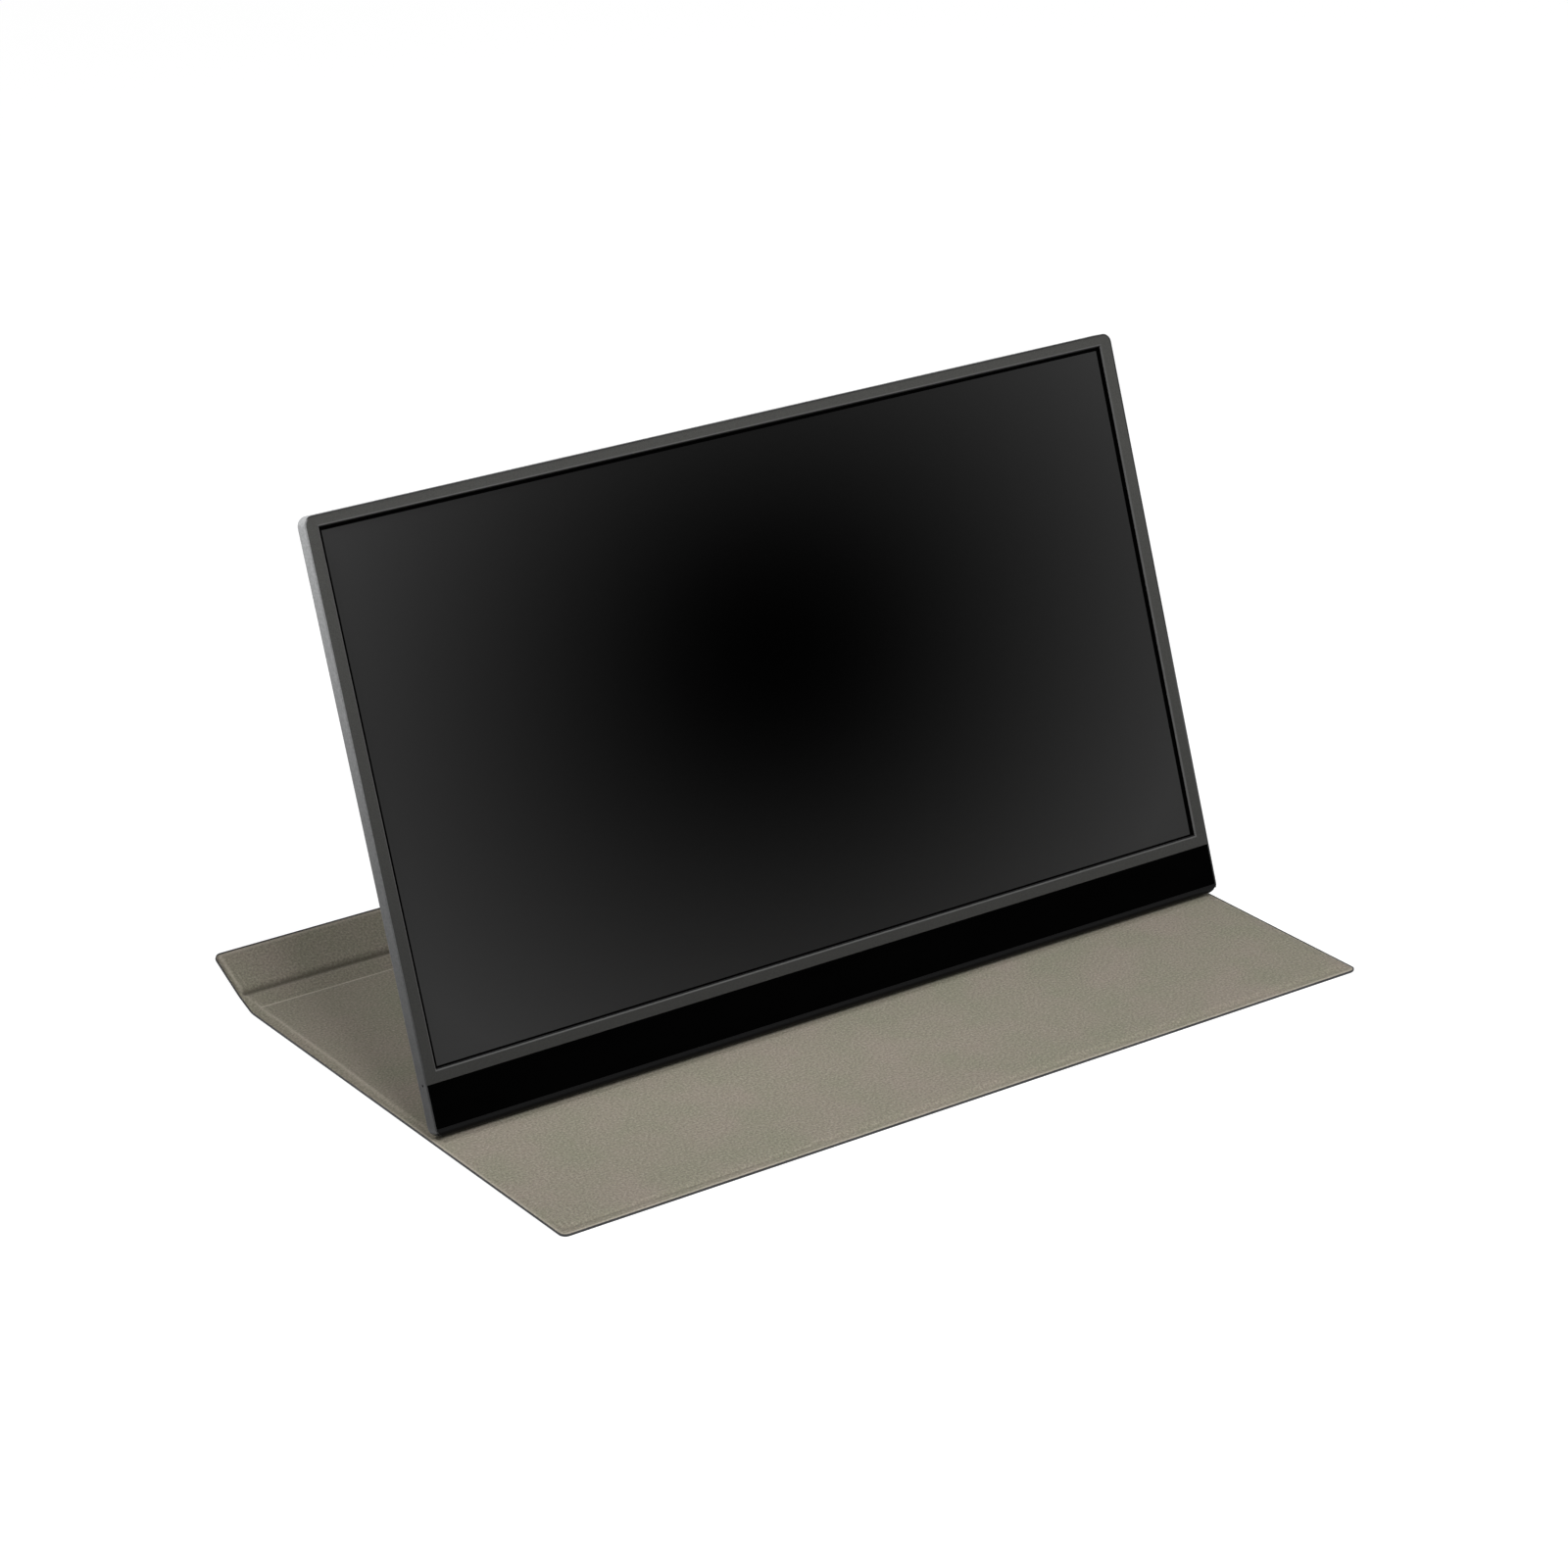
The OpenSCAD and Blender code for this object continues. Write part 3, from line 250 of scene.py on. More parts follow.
def suede():
    """Taupe microfibre with a short brushed nap, rubbed pale on its ridges, with painted shade in its crease,
    groove and hollows.
    """
    finish = Finish("suede", (0.262, 0.243, 0.192), 0.95, specular=0.12, follows_surface=True)
    finish.shader.inputs["Sheen Weight"].default_value = 0.08
    finish.shader.inputs["Sheen Roughness"].default_value = 0.5
    clouds = finish.grain(30 * MM, detail=3.0)
    finish.blend_colours(
        finish.spread(clouds, 0.0, 1.0, 0.35, 0.65), (0.268, 0.233, 0.191), (0.234, 0.225, 0.168)
    )
    speckle = finish.grain(0.9 * MM, detail=4.0)
    finish.over(finish.spread(speckle, 0.0, 0.55, 0.5, 0.72), (0.46, 0.43, 0.36))
    finish.over(finish.spread(speckle, 0.55, 0.0, 0.28, 0.5), (0.10, 0.09, 0.065))
    # The "rubbed" share is pale worn nap; the "pressed" share is painted shade in the crease, groove and hollow.
    for wear_or_painted_shade, colour in (("rubbed", (0.58, 0.53, 0.45)), ("pressed", (0.055, 0.047, 0.035))):
        share = finish.tree.nodes.new("ShaderNodeAttribute")
        share.attribute_name = wear_or_painted_shade
        finish.over(share.outputs["Fac"], colour)
    finish.relief(speckle, 0.3 * MM, 0.6)
    return finish.material


def grained_skin():
    """Black synthetic leather with a fine pebbled grain."""
    finish = Finish("grained_skin", (0.022, 0.022, 0.025), 0.55, specular=0.4, follows_surface=True)
    pebbles = finish.cells(0.9 * MM)
    finish.tint(pebbles, 1.4, 0.7, 0.1, 0.7)
    finish.polish(finish.grain(12 * MM), 0.08)
    finish.relief(pebbles, 0.15 * MM, 0.6)
    return finish.material


def satin_shell():
    """Silver-grey anodised metal, finely blasted, with painted shade that darkens it towards the foot of the
    display and on its front rim except on the left.
    """
    finish = Finish("satin_shell", (0.2, 0.203, 0.206), 0.45, specular=0.2)
    blasting = finish.grain(0.9 * MM, detail=4.0)
    finish.tint(blasting, 0.8, 1.2)
    # Painted shade: the side darkens from its top down to the display's foot.
    finish.paint_shade_towards_foot(0.17, 1.25)
    # Painted shade on the front rim beside and above the bezel; the left rim is left lit.
    finish.over(finish.painted_shade_front_rim(), (0.03, 0.03, 0.03))
    finish.polish(finish.grain(6 * MM), 0.06)
    finish.relief(blasting, 0.05 * MM, 0.5)
    return finish.material


def matte_bezel():
    """Dark olive-grey plastic, spark-eroded, with painted shade towards its foot and lower left, a painted
    highlight on the bevel and a black wall round the screen.
    """
    finish = Finish("matte_bezel", (0.039, 0.039, 0.0365), 0.5, specular=0.2)
    pits = finish.grain(0.5 * MM, detail=3.0)
    finish.tint(pits, 0.82, 1.2)
    # Painted shade and sheen: darker towards the foot and the left, lighter towards the top right.
    finish.paint_shade_towards_foot(0.62, 1.35, 0.3)
    outside = finish.past_opening()
    # Painted highlight on the bevel round the screen opening.
    finish.over(finish.spread(outside, 0.8, 0.0, 0.52 * MM, 0.66 * MM), (0.105, 0.105, 0.105))
    finish.over(finish.spread(outside, 1.0, 0.0, 0.03 * MM, 0.1 * MM), (0.0005, 0.0005, 0.0005))
    finish.polish(finish.grain(9 * MM), 0.05)
    finish.relief(pits, 0.04 * MM, 0.5)
    return finish.material


def gloss_chin():
    """Polished black plastic with the faintest haze of wiping marks."""
    finish = Finish("gloss_chin", (0.0004, 0.0004, 0.0004), 0.07, specular=0.005)
    wiping = finish.grain(14 * MM, detail=3.0, scale=(0.3, 1, 1))
    finish.tint(wiping, 0.6, 1.4)
    finish.polish(wiping, 0.02)
    return finish.material


def satin_lip():
    """Black satin plastic of the lower edge."""
    finish = Finish("satin_lip", (0.004, 0.004, 0.0042), 0.32, specular=0.08)
    pits = finish.grain(0.4 * MM, detail=2.0)
    finish.tint(pits, 0.8, 1.2)
    finish.polish(finish.grain(7 * MM), 0.05)
    finish.relief(pits, 0.01 * MM, 0.4)
    return finish.material


def dark_screen():
    """Switched-off panel: black in the middle, with a painted sheen that greys it towards its corners, and a black
    border.
    """
    finish = Finish("dark_screen", (0.0003, 0.0003, 0.0003), 0.3, specular=0.004)
    reach = finish.tree.nodes.new("ShaderNodeVectorMath")
    reach.operation = "MULTIPLY"
    reach.inputs[1].default_value = (1, 0, 1.22)
    finish.link(finish.on_panel(18 * MM), reach.inputs[0])
    square = finish.tree.nodes.new("ShaderNodeVectorMath")
    square.operation = "DOT_PRODUCT"
    finish.link(reach.outputs["Vector"], square.inputs[0])
    finish.link(reach.outputs["Vector"], square.inputs[1])
    # Painted sheen: the colour greys from black at the middle to this grey at the corners.
    far, grey = 200 * MM, 0.0385
    finish.blend_colours(
        finish.spread(square.outputs["Value"], 0.0, 1.0, 0.0, far * far),
        finish.colour,
        (grey, grey, grey),
    )
    border = finish.past_opening(-0.3 * MM, -0.45 * MM)
    finish.over(finish.spread(border, 0.0, 1.0, -1.35 * MM, -1.25 * MM), (0.0002, 0.0002, 0.0002))
    finish.polish(finish.grain(0.3 * MM), 0.04)
    return finish.material


def soft_rubber():
    """Black rubber with a dusty bloom."""
    finish = Finish("soft_rubber", (0.018, 0.018, 0.018), 0.8, specular=0.25)
    finish.tint(finish.grain(3 * MM), 0.8, 1.6)
    finish.relief(finish.grain(0.5 * MM), 0.05 * MM, 0.5)
    return finish.material


def spark_plastic(name, colour, roughness=0.6):
    """Moulded plastic with a fine even texture."""
    finish = Finish(name, colour, roughness, specular=0.4)
    pits = finish.grain(0.5 * MM, detail=2.0)
    finish.tint(pits, 0.82, 1.2)
    finish.polish(finish.grain(11 * MM), 0.06)
    finish.relief(pits, 0.05 * MM, 0.6)
    return finish.material


def brushed_metal(name, colour, roughness, stroke=(0.08, 1, 1)):
    """Metal with fine brush strokes along one way."""
    finish = Finish(name, colour, roughness, metallic=0.9)
    strokes = finish.grain(0.6 * MM, detail=4.0, scale=stroke)
    finish.tint(strokes, 0.8, 1.12)
    finish.polish(finish.grain(4 * MM), 0.07)
    finish.relief(strokes, 0.02 * MM, 0.5)
    return finish.material


def plated_metal(name, colour, roughness):
    """Smooth plated metal with slight clouding."""
    finish = Finish(name, colour, roughness, metallic=1.0)
    clouds = finish.grain(2.5 * MM)
    finish.tint(clouds, 0.85, 1.1)
    finish.polish(clouds, 0.06)
    return finish.material


def fibre_board():
    """Grey-brown pressed fibre board."""
    finish = Finish("fibre_board", (0.26, 0.23, 0.19), 0.9, specular=0.2)
    fibres = finish.grain(1.5 * MM, detail=5.0, scale=(0.3, 1, 1))
    finish.tint(fibres, 0.75, 1.2)
    finish.relief(fibres, 0.1 * MM, 0.6)
    return finish.material


def white_film():
    """Diffusing film with a faint pearl."""
    finish = Finish("white_film", (0.82, 0.82, 0.8), 0.45)
    finish.tint(finish.grain(5 * MM), 0.95, 1.03)
    finish.polish(finish.grain(0.4 * MM), 0.08)
    return finish.material


def clear_guide():
    """Clear acrylic plate with printed dots."""
    finish = Finish("clear_guide", (0.8, 0.86, 0.88), 0.12)
    dots = finish.cells(1.4 * MM)
    finish.tint(dots, 1.1, 0.88, 0.1, 0.3)
    finish.polish(dots, 0.05)
    return finish.material


def lamp_strip():
    """Row of yellow phosphor lamps on a pale strip."""
    finish = Finish("lamp_strip", (0.8, 0.72, 0.4), 0.5)
    waves = finish.tree.nodes.new("ShaderNodeTexWave")
    waves.inputs["Scale"].default_value = 60.0
    finish.link(finish.place, waves.inputs["Vector"])
    finish.blend_colours(
        finish.spread(waves.outputs["Fac"], 0.0, 1.0, 0.4, 0.6), (0.85, 0.85, 0.8), (0.75, 0.6, 0.15)
    )
    return finish.material


def foam_tape():
    """Dark foam with open cells."""
    finish = Finish("foam_tape", (0.05, 0.05, 0.05), 0.95, specular=0.1)
    cells = finish.cells(0.5 * MM)
    finish.tint(cells, 0.5, 1.5, 0.1, 0.6)
    finish.relief(cells, 0.1 * MM, 0.8)
    return finish.material


def solder_mask():
    """Green circuit board with tracks that show through the mask."""
    finish = Finish("solder_mask", (0.02, 0.15, 0.07), 0.35)
    tracks = finish.tree.nodes.new("ShaderNodeTexBrick")
    tracks.inputs["Scale"].default_value = 260.0
    tracks.inputs["Color1"].default_value = (0.015, 0.12, 0.06, 1)
    tracks.inputs["Color2"].default_value = (0.02, 0.15, 0.07, 1)
    tracks.inputs["Mortar"].default_value = (0.06, 0.3, 0.12, 1)
    tracks.inputs["Mortar Size"].default_value = 0.06
    mapping = finish.tree.nodes.new("ShaderNodeMapping")
    mapping.inputs["Rotation"].default_value = (math.pi / 2 - LEAN, 0, 0)
    finish.link(finish.place, mapping.inputs["Vector"])
    finish.link(mapping.outputs["Vector"], tracks.inputs["Vector"])
    finish.onto_colour(tracks.outputs["Color"])
    finish.polish(finish.grain(2 * MM), 0.08)
    return finish.material


def flex_film():
    """Amber flat cable with copper tracks along it."""
    finish = Finish("flex_film", (0.5, 0.27, 0.07), 0.3)
    lines = finish.grain(0.7 * MM, detail=1.0, scale=(1, 0.05, 0.05))
    finish.tint(lines, 0.7, 1.3)
    finish.polish(lines, 0.05)
    return finish.material


def insulation():
    """Red wire insulation."""
    finish = Finish("insulation", (0.4, 0.04, 0.025), 0.4)
    finish.tint(finish.grain(3 * MM), 0.85, 1.15)
    finish.polish(finish.grain(1 * MM), 0.06)
    return finish.material


SLOT_FINISHES = {
    "board": fibre_board(),
    "suede": suede(),
    "cover_skin": grained_skin(),
    "magnet": plated_metal("nickel", (0.6, 0.59, 0.56), 0.25),
    "rubber": soft_rubber(),
    "shell": satin_shell(),
    "bezel": matte_bezel(),
    "gloss_black": gloss_chin(),
    "lip": satin_lip(),
    "screen": dark_screen(),
    "film": white_film(),
    "guide": clear_guide(),
    "lamp": lamp_strip(),
    "tray": brushed_metal("zinc_tray", (0.5, 0.51, 0.52), 0.4),
    "foam": foam_tape(),
    "circuit": solder_mask(),
    "flex": flex_film(),
    "housing": spark_plastic("housing_plastic", (0.045, 0.047, 0.05), 0.62),
    "screw": plated_metal("plated_screw", (0.5, 0.5, 0.52), 0.3),
    "chip": spark_plastic("moulded_chip", (0.02, 0.02, 0.022), 0.5),
    "port_plastic": spark_plastic("socket_plastic", (0.012, 0.012, 0.013), 0.45),
    "port_metal": plated_metal("socket_metal", (0.62, 0.62, 0.64), 0.22),
    "switch": spark_plastic("switch_plastic", (0.7, 0.7, 0.68), 0.5),
    "wire": insulation(),
    "hinge": brushed_metal("hinge_steel", (0.42, 0.43, 0.44), 0.35, (1, 1, 0.08)),
    "stand": brushed_metal("stand_metal", (0.17, 0.175, 0.185), 0.42),
    "brass": plated_metal("brass", (0.6, 0.44, 0.17), 0.28),
}

for subpart in frame["record"]["subparts"]:
    part_mesh = nodes[subpart["node"]].data
    part_mesh.materials.clear()
    part_mesh.materials.append(SLOT_FINISHES[subpart["material_slot"]])


# ---------- fabric of the cover ----------
# It is laid out flat first: x across, y the distance along the fabric, z the height above the table.

# Width of the pressed hem along the front edge, at the sides in front and behind, and round the flap
FRONT_HEM = 3.3 * MM
SIDE_HEM = 2.2 * MM
REAR_SIDE_HEM = 3.8 * MM
FLAP_HEM = 1.6 * MM
# How far the lining's edge lies inside the skin's, and the thickness of the two sheets
LINING_INSET = 0.35 * MM
LINING_THICKNESS = 0.45 * MM
SKIN_THICKNESS = 0.6 * MM
# Height of the lining at its outer edge, and how far the hem rises inside that
LINING_EDGE_HEIGHT = 0.95 * MM
HEM_ROLL = 0.3 * MM
# Depths pressed into the lining: the groove in front, the line at the first fold and the crease
GROOVE_DEPTH = 0.12 * MM
LINE_DEPTH = 0.2 * MM
CREASE_DEPTH = 0.9 * MM
# Height of the skin where it is turned up at the edge, and how far it drops inside that
SKIN_EDGE_HEIGHT = 1.15 * MM
SKIN_DROP = 0.55 * MM
# Half the length of fabric that bends at each fold
FOLD_TURN = 1.6 * MM


def rounded_outline(bm, inset):
    """One rounded rectangle, at a distance inside the cover's edge. Returns its face."""
    corner = max(CORNER - inset, CORNER * 0.35)
    width, front, rear = COVER_WIDTH - 2 * inset, FRONT + inset, TIP - inset
    made = bmesh.ops.create_grid(bm, x_segments=1, y_segments=1, size=0.5)
    bmesh.ops.scale(bm, vec=(width, rear - front, 1), verts=made["verts"])
    bmesh.ops.translate(bm, vec=(0, (rear + front) / 2, 0), verts=made["verts"])
    rounded = bmesh.ops.bevel(
        bm,
        geom=made["verts"],
        affect="VERTICES",
        offset=corner,
        offset_type="OFFSET",
        segments=6,
        profile=0.5,
        material=-1,
    )
    corner_faces = (face for vert in rounded["verts"] for face in vert.link_faces)
    return max(corner_faces, key=lambda face: face.calc_area())


def nested_outlines(insets):
    """A flat sheet whose loops follow the rounded edge at each of the insets."""
    bm = bmesh.new()
    outer_edges = None
    for inset in insets:
        face = rounded_outline(bm, inset)
        edges = list(face.edges)
        if inset != insets[-1]:
            bmesh.ops.delete(bm, geom=[face], context="FACES_ONLY")
        if outer_edges:
            bmesh.ops.bridge_loops(bm, edges=outer_edges + edges)
        outer_edges = edges
    return bm


def cut_across(bm, places):
    """Cuts across the sheet at distances along it, so that it can bend there."""
    for place in places:
        geometry = list(bm.verts) + list(bm.edges) + list(bm.faces)
        bmesh.ops.bisect_plane(
            bm, geom=geometry, dist=1e-6, plane_co=(0, place, 0), plane_no=(0, 1, 0)
        )


def cut_lengthways(bm, places):
    """Cuts along the sheet, to keep its faces of an even size."""
    for place in places:
        geometry = list(bm.verts) + list(bm.edges) + list(bm.faces)
        bmesh.ops.bisect_plane(
            bm, geom=geometry, dist=1e-6, plane_co=(place, 0, 0), plane_no=(1, 0, 0)
        )


def ease(value, start, end):
    """Runs smoothly from 0 at start to 1 at end."""
    share = min(1.0, max(0.0, (value - start) / (end - start)))
    return share * share * (3 - 2 * share)


def valley(value, centre, half_width):
    """1 at the centre, falling smoothly to 0 at half the width away."""
    return 1 - ease(abs(value - centre), 0, half_width)


def inside_edge(point):
    """How far a point lies inside the cover's rounded edge."""
    across = abs(point.x) - (COVER_WIDTH / 2 - CORNER)
    along = CORNER - min(point.y - FRONT, TIP - point.y)
    outside = math.hypot(max(across, 0), max(along, 0))
    return CORNER - outside - min(max(across, along), 0)


def past_hem(point):
    """How far a point lies inside the line where the padding meets the pressed hem."""
    side_hem = SIDE_HEM + (REAR_SIDE_HEM - SIDE_HEM) * ease(point.y, 0, 80 * MM)
    side_hem += (FLAP_HEM - REAR_SIDE_HEM) * ease(point.y, FOLD_1, FOLD_2)
    from_side = COVER_WIDTH / 2 - abs(point.x)
    return min(from_side - side_hem, point.y - FRONT - FRONT_HEM, TIP - point.y - FLAP_HEM)


def lining_height(point):
    """Height of the lining: a pressed hem, a groove beside it in front, and the padded middle."""
    inside, past = inside_edge(point), past_hem(point)
    behind = ease(point.y, 0, 60 * MM)
    rim = LINING_EDGE_HEIGHT + HEM_ROLL * ease(inside, LINING_INSET, 1.1 * MM)
    groove = -GROOVE_DEPTH * valley(point.y, FRONT + FRONT_HEM, 0.6 * MM) * ease(past, -0.5 * MM, 0)
    low, high = -1.3 * MM * behind, (2.5 - 2 * behind) * MM
    padding = (PANEL_TOP - HEM_TOP - 0.15 * MM) * ease(past, low, high)
    middle = ease(past, -0.8 * MM, 0.6 * MM)
    pressed_line = -LINE_DEPTH * valley(point.y, FOLD_1, 0.9 * MM) * middle
    crease = -CREASE_DEPTH * valley(point.y, FOLD_2, 3 * MM) * (0.1 + 0.9 * middle)
    return rim + groove + padding + pressed_line + crease


def skin_height(point):
    """Height of the skin: flat below, turned up round the edge of the lining."""
    return SKIN_EDGE_HEIGHT - SKIN_DROP * ease(inside_edge(point), 0.3 * MM, 0.8 * MM)


def slope_at(along):
    """Angle of the fabric above the table at a distance along it."""
    first = SPINE_RISE * ease(along, FOLD_1 - FOLD_TURN, FOLD_1 + FOLD_TURN)
    return first + (FLAP_RISE - SPINE_RISE) * ease(along, FOLD_2 - FOLD_TURN, FOLD_2 + FOLD_TURN)


def raised_place(along, height):
    """Where a point of the flat layout lies once the folds are raised: (y, z)."""
    y, z, step = min(along, FOLD_1 - 2 * MM), HEM_TOP, 0.1 * MM
    walked = y
    while walked < along - 1e-9:
        stride = min(step, along - walked)
        angle = slope_at(walked + stride / 2)
        y += stride * math.cos(angle)
        z += stride * math.sin(angle)
        walked += stride
    angle = slope_at(along)
    above = height - HEM_TOP
    return y - above * math.sin(angle), z + above * math.cos(angle)


def lay_on_table(bm):
    """Gives each corner its flat place as UV, then raises the spine and the flap."""
    sheet_place = bm.loops.layers.uv.new("fabric")
    for face in bm.faces:
        for loop in face.loops:
            loop[sheet_place].uv = (loop.vert.co.x, loop.vert.co.y)
    for vert in bm.verts:
        y, z = raised_place(vert.co.y, vert.co.z)
        vert.co.y, vert.co.z = y, z


def mark_wear_and_painted_shade(bm):
    """Marks where the nap is rubbed pale, and where painted shade darkens the crease, the front groove and the
    hollow inside the flap's edge.
    """
    rubbed = bm.verts.layers.float.new("rubbed")
    # The "pressed" layer holds painted shade.
    pressed = bm.verts.layers.float.new("pressed")
    for vert in bm.verts:
        place = vert.co
        inside, past = inside_edge(place), past_hem(place)
        middle = ease(past, -0.5 * MM, 0.5 * MM)
        behind = ease(place.y, 10 * MM, 50 * MM)
        on_flap = ease(place.y, FOLD_2, FOLD_2 + 2 * MM)
        near_corner = ease(-place.x, 30 * MM, 120 * MM) * (1 - behind)
        line = 0.6 * valley(place.y, FOLD_1, 0.7 * MM) * middle
        ridge = 0.28 * valley(past, 0.3 * MM, 1 * MM) * behind
        edge = 0.4 * valley(inside, 0.8 * MM, 0.6 * MM) * (1 - behind)
        # Painted shade in the crease, in the front groove near the left corner and in the hollow inside the flap's
        # edge.
        crease = 0.7 * valley(place.y, FOLD_2, 2.2 * MM) * middle
        groove = 0.6 * valley(place.y, FRONT + FRONT_HEM, 0.7 * MM) * near_corner * middle
        hollow = 0.35 * valley(inside, 0.7 * MM, 0.7 * MM) * on_flap
        vert[rubbed] = max(line, ridge, edge)
        vert[pressed] = max(crease, groove, hollow)


def half_of(bm, front_half):
    """Copy of the fabric in front of the middle of the spine, or behind it, with a crisp seam."""
    half = bm.copy()
    y, z = raised_place(MID_SPINE, HEM_TOP)
    across_spine = (0, math.cos(SPINE_RISE), math.sin(SPINE_RISE))
    geometry = list(half.verts) + list(half.edges) + list(half.faces)
    cut = bmesh.ops.bisect_plane(
        half,
        geom=geometry,
        dist=1e-6,
        plane_co=(0, y, z),
        plane_no=across_spine,
        clear_outer=front_half,
        clear_inner=not front_half,
    )
    for element in cut["geom_cut"]:
        if isinstance(element, bmesh.types.BMEdge):
            element.smooth = False
    return half


def finished_piece(bm, name, slot_name):
    """Turns a mesh into a named piece that carries the finish of a record slot."""
    mesh = bpy.data.meshes.new(name)
    bm.to_mesh(mesh)
    bm.free()
    for polygon in mesh.polygons:
        polygon.use_smooth = True
    piece = bpy.data.objects.new(name, mesh)
    bpy.context.scene.collection.objects.link(piece)
    piece.data.materials.append(SLOT_FINISHES[slot_name])
    return piece


def spread_over(start, end, count):
    """Evenly spaced places from start to end."""
    return [start + (end - start) * i / (count - 1) for i in range(count)]


# Distances in millimetres inside the edge at which the sheets have their loops
HEM_INSETS = [0.35, 0.5, 0.7, 0.95, 1.2, 1.5, 1.8, 2.1, 2.4, 2.7, 3, 3.3, 3.6, 3.9, 4.3, 4.8, 5.4, 6]
SKIN_INSETS = [0, 0.12, 0.3, 0.4, 0.5, 0.6, 0.7, 0.8, 2]
CROSS_CUTS = (
    spread_over(FRONT + 12 * MM, 50 * MM, 8)
    + spread_over(60 * MM, FOLD_1 - 2 * MM, 8)
    + spread_over(FOLD_1 - 1 * MM, FOLD_1 + 1 * MM, 17)
    + spread_over(FOLD_1 + 1.4 * MM, FOLD_1 + 2.2 * MM, 3)
    + spread_over(FOLD_2 - 3.2 * MM, FOLD_2 + 3.2 * MM, 27)
    + spread_over(FOLD_2 + 6 * MM, TIP - 8 * MM, 2)
)
LENGTH_CUTS = spread_over(-COVER_WIDTH / 2 + 14 * MM, COVER_WIDTH / 2 - 14 * MM, 15)


def lining_cloth():
    """The whole lining in one cloth."""
    bm = nested_outlines([inset * MM for inset in HEM_INSETS])
    cut_across(bm, CROSS_CUTS)
    cut_lengthways(bm, LENGTH_CUTS)
    mark_wear_and_painted_shade(bm)
    for vert in bm.verts:
        vert.co.z = lining_height(vert.co)
    lay_on_table(bm)
    return bm


def outer_skin():
    """The whole outer skin in one sheet, turned up a little at its edge."""
    bm = nested_outlines([inset * MM for inset in SKIN_INSETS])
    cut_across(bm, CROSS_CUTS)
    cut_lengthways(bm, LENGTH_CUTS)
    for vert in bm.verts:
        vert.co.z = skin_height(vert.co)
    lay_on_table(bm)
    return bm


def give_thickness(piece, thickness):
    """Gives a sheet its thickness, below the modelled face."""
    wall = piece.modifiers.new("thickness", "SOLIDIFY")
    wall.thickness = thickness
    wall.offset = -1
    wall.use_even_offset = True


def bend_over_fold(piece):
    """Bakes the piece's placement into its mesh."""
    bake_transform(piece)


def cover_fabric():
    """Lining and skin, each in two pieces that meet in the middle of the spine."""
    lining_edges = (FRONT + LINING_INSET, TIP - LINING_INSET)
    layers = [
        ("lining", "suede_lining", lining_cloth(), "suede", LINING_THICKNESS, lining_edges),
        ("skin", "outer_skin", outer_skin(), "cover_skin", SKIN_THICKNESS, (FRONT, TIP)),
    ]
    for layer, name, cloth, slot_name, thickness, (front_edge, tip_edge) in layers:
        front = finished_piece(half_of(cloth, True), name + "_front", slot_name)
        rear = finished_piece(half_of(cloth, False), name + "_rear", slot_name)
        cloth.free()
        for piece, length in ((front, MID_SPINE - front_edge), (rear, tip_edge - MID_SPINE)):
            give_thickness(piece, thickness)
        bend_over_fold(front)
        bend_over_fold(rear)
        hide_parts("cover_" + layer, "spine_" + layer)
        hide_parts("flap_" + layer)


cover_fabric()


# ---------- camera, floor and light ----------

# Place in metres, angles in degrees and lens in millimetres, fitted to the corners in the photograph
CAMERA_PLACE = Vector((-0.8870, -1.2393, 0.7346))
CAMERA_AZIMUTH = math.radians(-34.82)
CAMERA_ELEVATION = math.radians(22.83)
CAMERA_ROLL = math.radians(-0.70)
CAMERA_LENS = 103.99
CAMERA_SENSOR = 36
# Strength of the surroundings as light, and of the floor's own glow where it is seen
AMBIENT = 0.2
FLOOR_GLOW = 0.9


def photo_camera():
    """Camera at the photograph's angle."""
    data = bpy.data.cameras.new("photo_camera")
    data.sensor_width = CAMERA_SENSOR
    data.lens = CAMERA_LENS
    camera = bpy.data.objects.new("photo_camera", data)
    bpy.context.scene.collection.objects.link(camera)
    turn = (
        Matrix.Rotation(CAMERA_AZIMUTH, 4, "Z")
        @ Matrix.Rotation(math.pi / 2 - CAMERA_ELEVATION, 4, "X")
        @ Matrix.Rotation(CAMERA_ROLL, 4, "Z")
    )
    camera.matrix_world = Matrix.Translation(CAMERA_PLACE) @ turn
    bpy.context.scene.camera = camera


def seen_share(tree):
    """1 for what the camera sees, directly, in a mirror or through glass, and 0 for what only lights."""
    rays = tree.nodes.new("ShaderNodeLightPath")
    share = rays.outputs["Is Camera Ray"]
    for other in ("Is Glossy Ray", "Is Transmission Ray"):
        either = tree.nodes.new("ShaderNodeMath")
        either.operation = "MAXIMUM"
        tree.links.new(share, either.inputs[0])
        tree.links.new(rays.outputs[other], either.inputs[1])
        share = either.outputs["Value"]
    return share


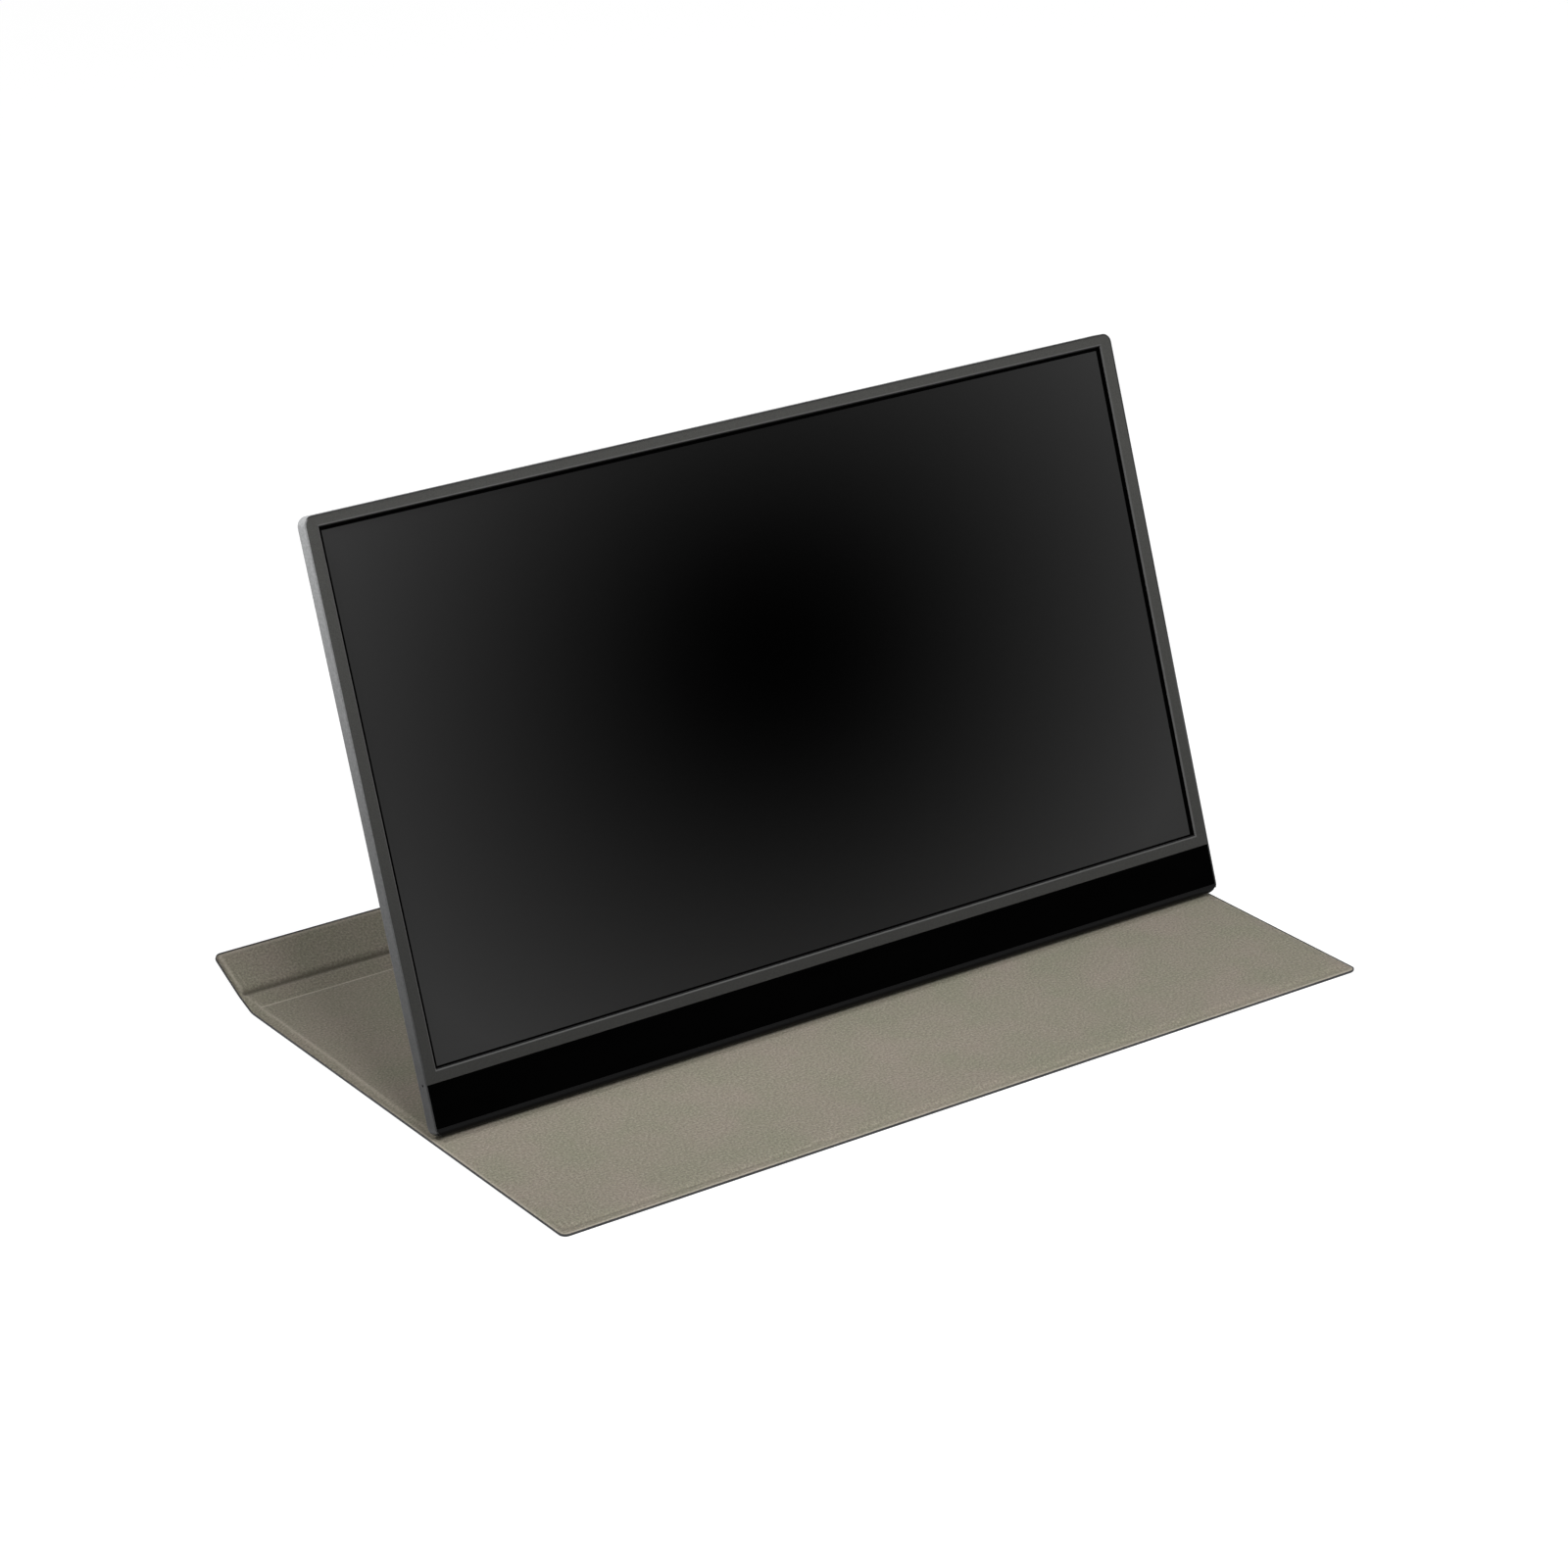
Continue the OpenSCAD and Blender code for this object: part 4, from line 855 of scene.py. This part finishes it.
def pale_floor():
    """Wide pale floor just under the cover."""
    bm = bmesh.new()
    bmesh.ops.create_grid(bm, x_segments=1, y_segments=1, size=15)
    bmesh.ops.translate(bm, vec=(0, 0, -0.05 * MM), verts=list(bm.verts))
    mesh = bpy.data.meshes.new("floor")
    bm.to_mesh(mesh)
    bm.free()
    floor = bpy.data.objects.new("floor", mesh)
    bpy.context.scene.collection.objects.link(floor)
    material = bpy.data.materials.new("pale_floor")
    material.use_nodes = True
    shader = material.node_tree.nodes["Principled BSDF"]
    shader.inputs["Base Color"].default_value = (0.3, 0.3, 0.3, 1)
    shader.inputs["Roughness"].default_value = 0.9
    shader.inputs["Specular IOR Level"].default_value = 0.0
    shader.inputs["Emission Color"].default_value = (1, 1, 1, 1)
    level = material.node_tree.nodes.new("ShaderNodeMath")
    level.operation = "MULTIPLY"
    level.inputs[1].default_value = FLOOR_GLOW
    material.node_tree.links.new(seen_share(material.node_tree), level.inputs[0])
    material.node_tree.links.new(level.outputs["Value"], shader.inputs["Emission Strength"])
    mesh.materials.append(material)


def studio_world():
    """Even white surroundings, brighter where they are seen than where they light."""
    world = bpy.data.worlds.new("studio")
    bpy.context.scene.world = world
    world.use_nodes = True
    background = world.node_tree.nodes["Background"]
    background.inputs["Color"].default_value = (1, 1, 1, 1)
    seen = seen_share(world.node_tree)
    level = world.node_tree.nodes.new("ShaderNodeMapRange")
    level.inputs["To Min"].default_value = AMBIENT
    level.inputs["To Max"].default_value = 1.0
    world.node_tree.links.new(seen, level.inputs["Value"])
    world.node_tree.links.new(level.outputs["Result"], background.inputs["Strength"])


def soft_lamp(name, place, target, size, power, spread=180):
    """Square soft light aimed at a point, its spread in degrees."""
    data = bpy.data.lights.new(name, "AREA")
    data.size = size
    data.energy = power
    data.spread = math.radians(spread)
    lamp = bpy.data.objects.new(name, data)
    bpy.context.scene.collection.objects.link(lamp)
    aim = (Vector(target) - Vector(place)).to_track_quat("-Z", "Y")
    lamp.matrix_world = Matrix.Translation(place) @ aim.to_matrix().to_4x4()


photo_camera()
pale_floor()
studio_world()
soft_lamp("key", (-0.1, -1.3, 1.5), (0, 0, 0.05), 1.0, 31.5)
soft_lamp("side", (-0.45, 0.12, 0.42), (-0.18, 0.075, 0.2), 0.12, 0.22, 60)
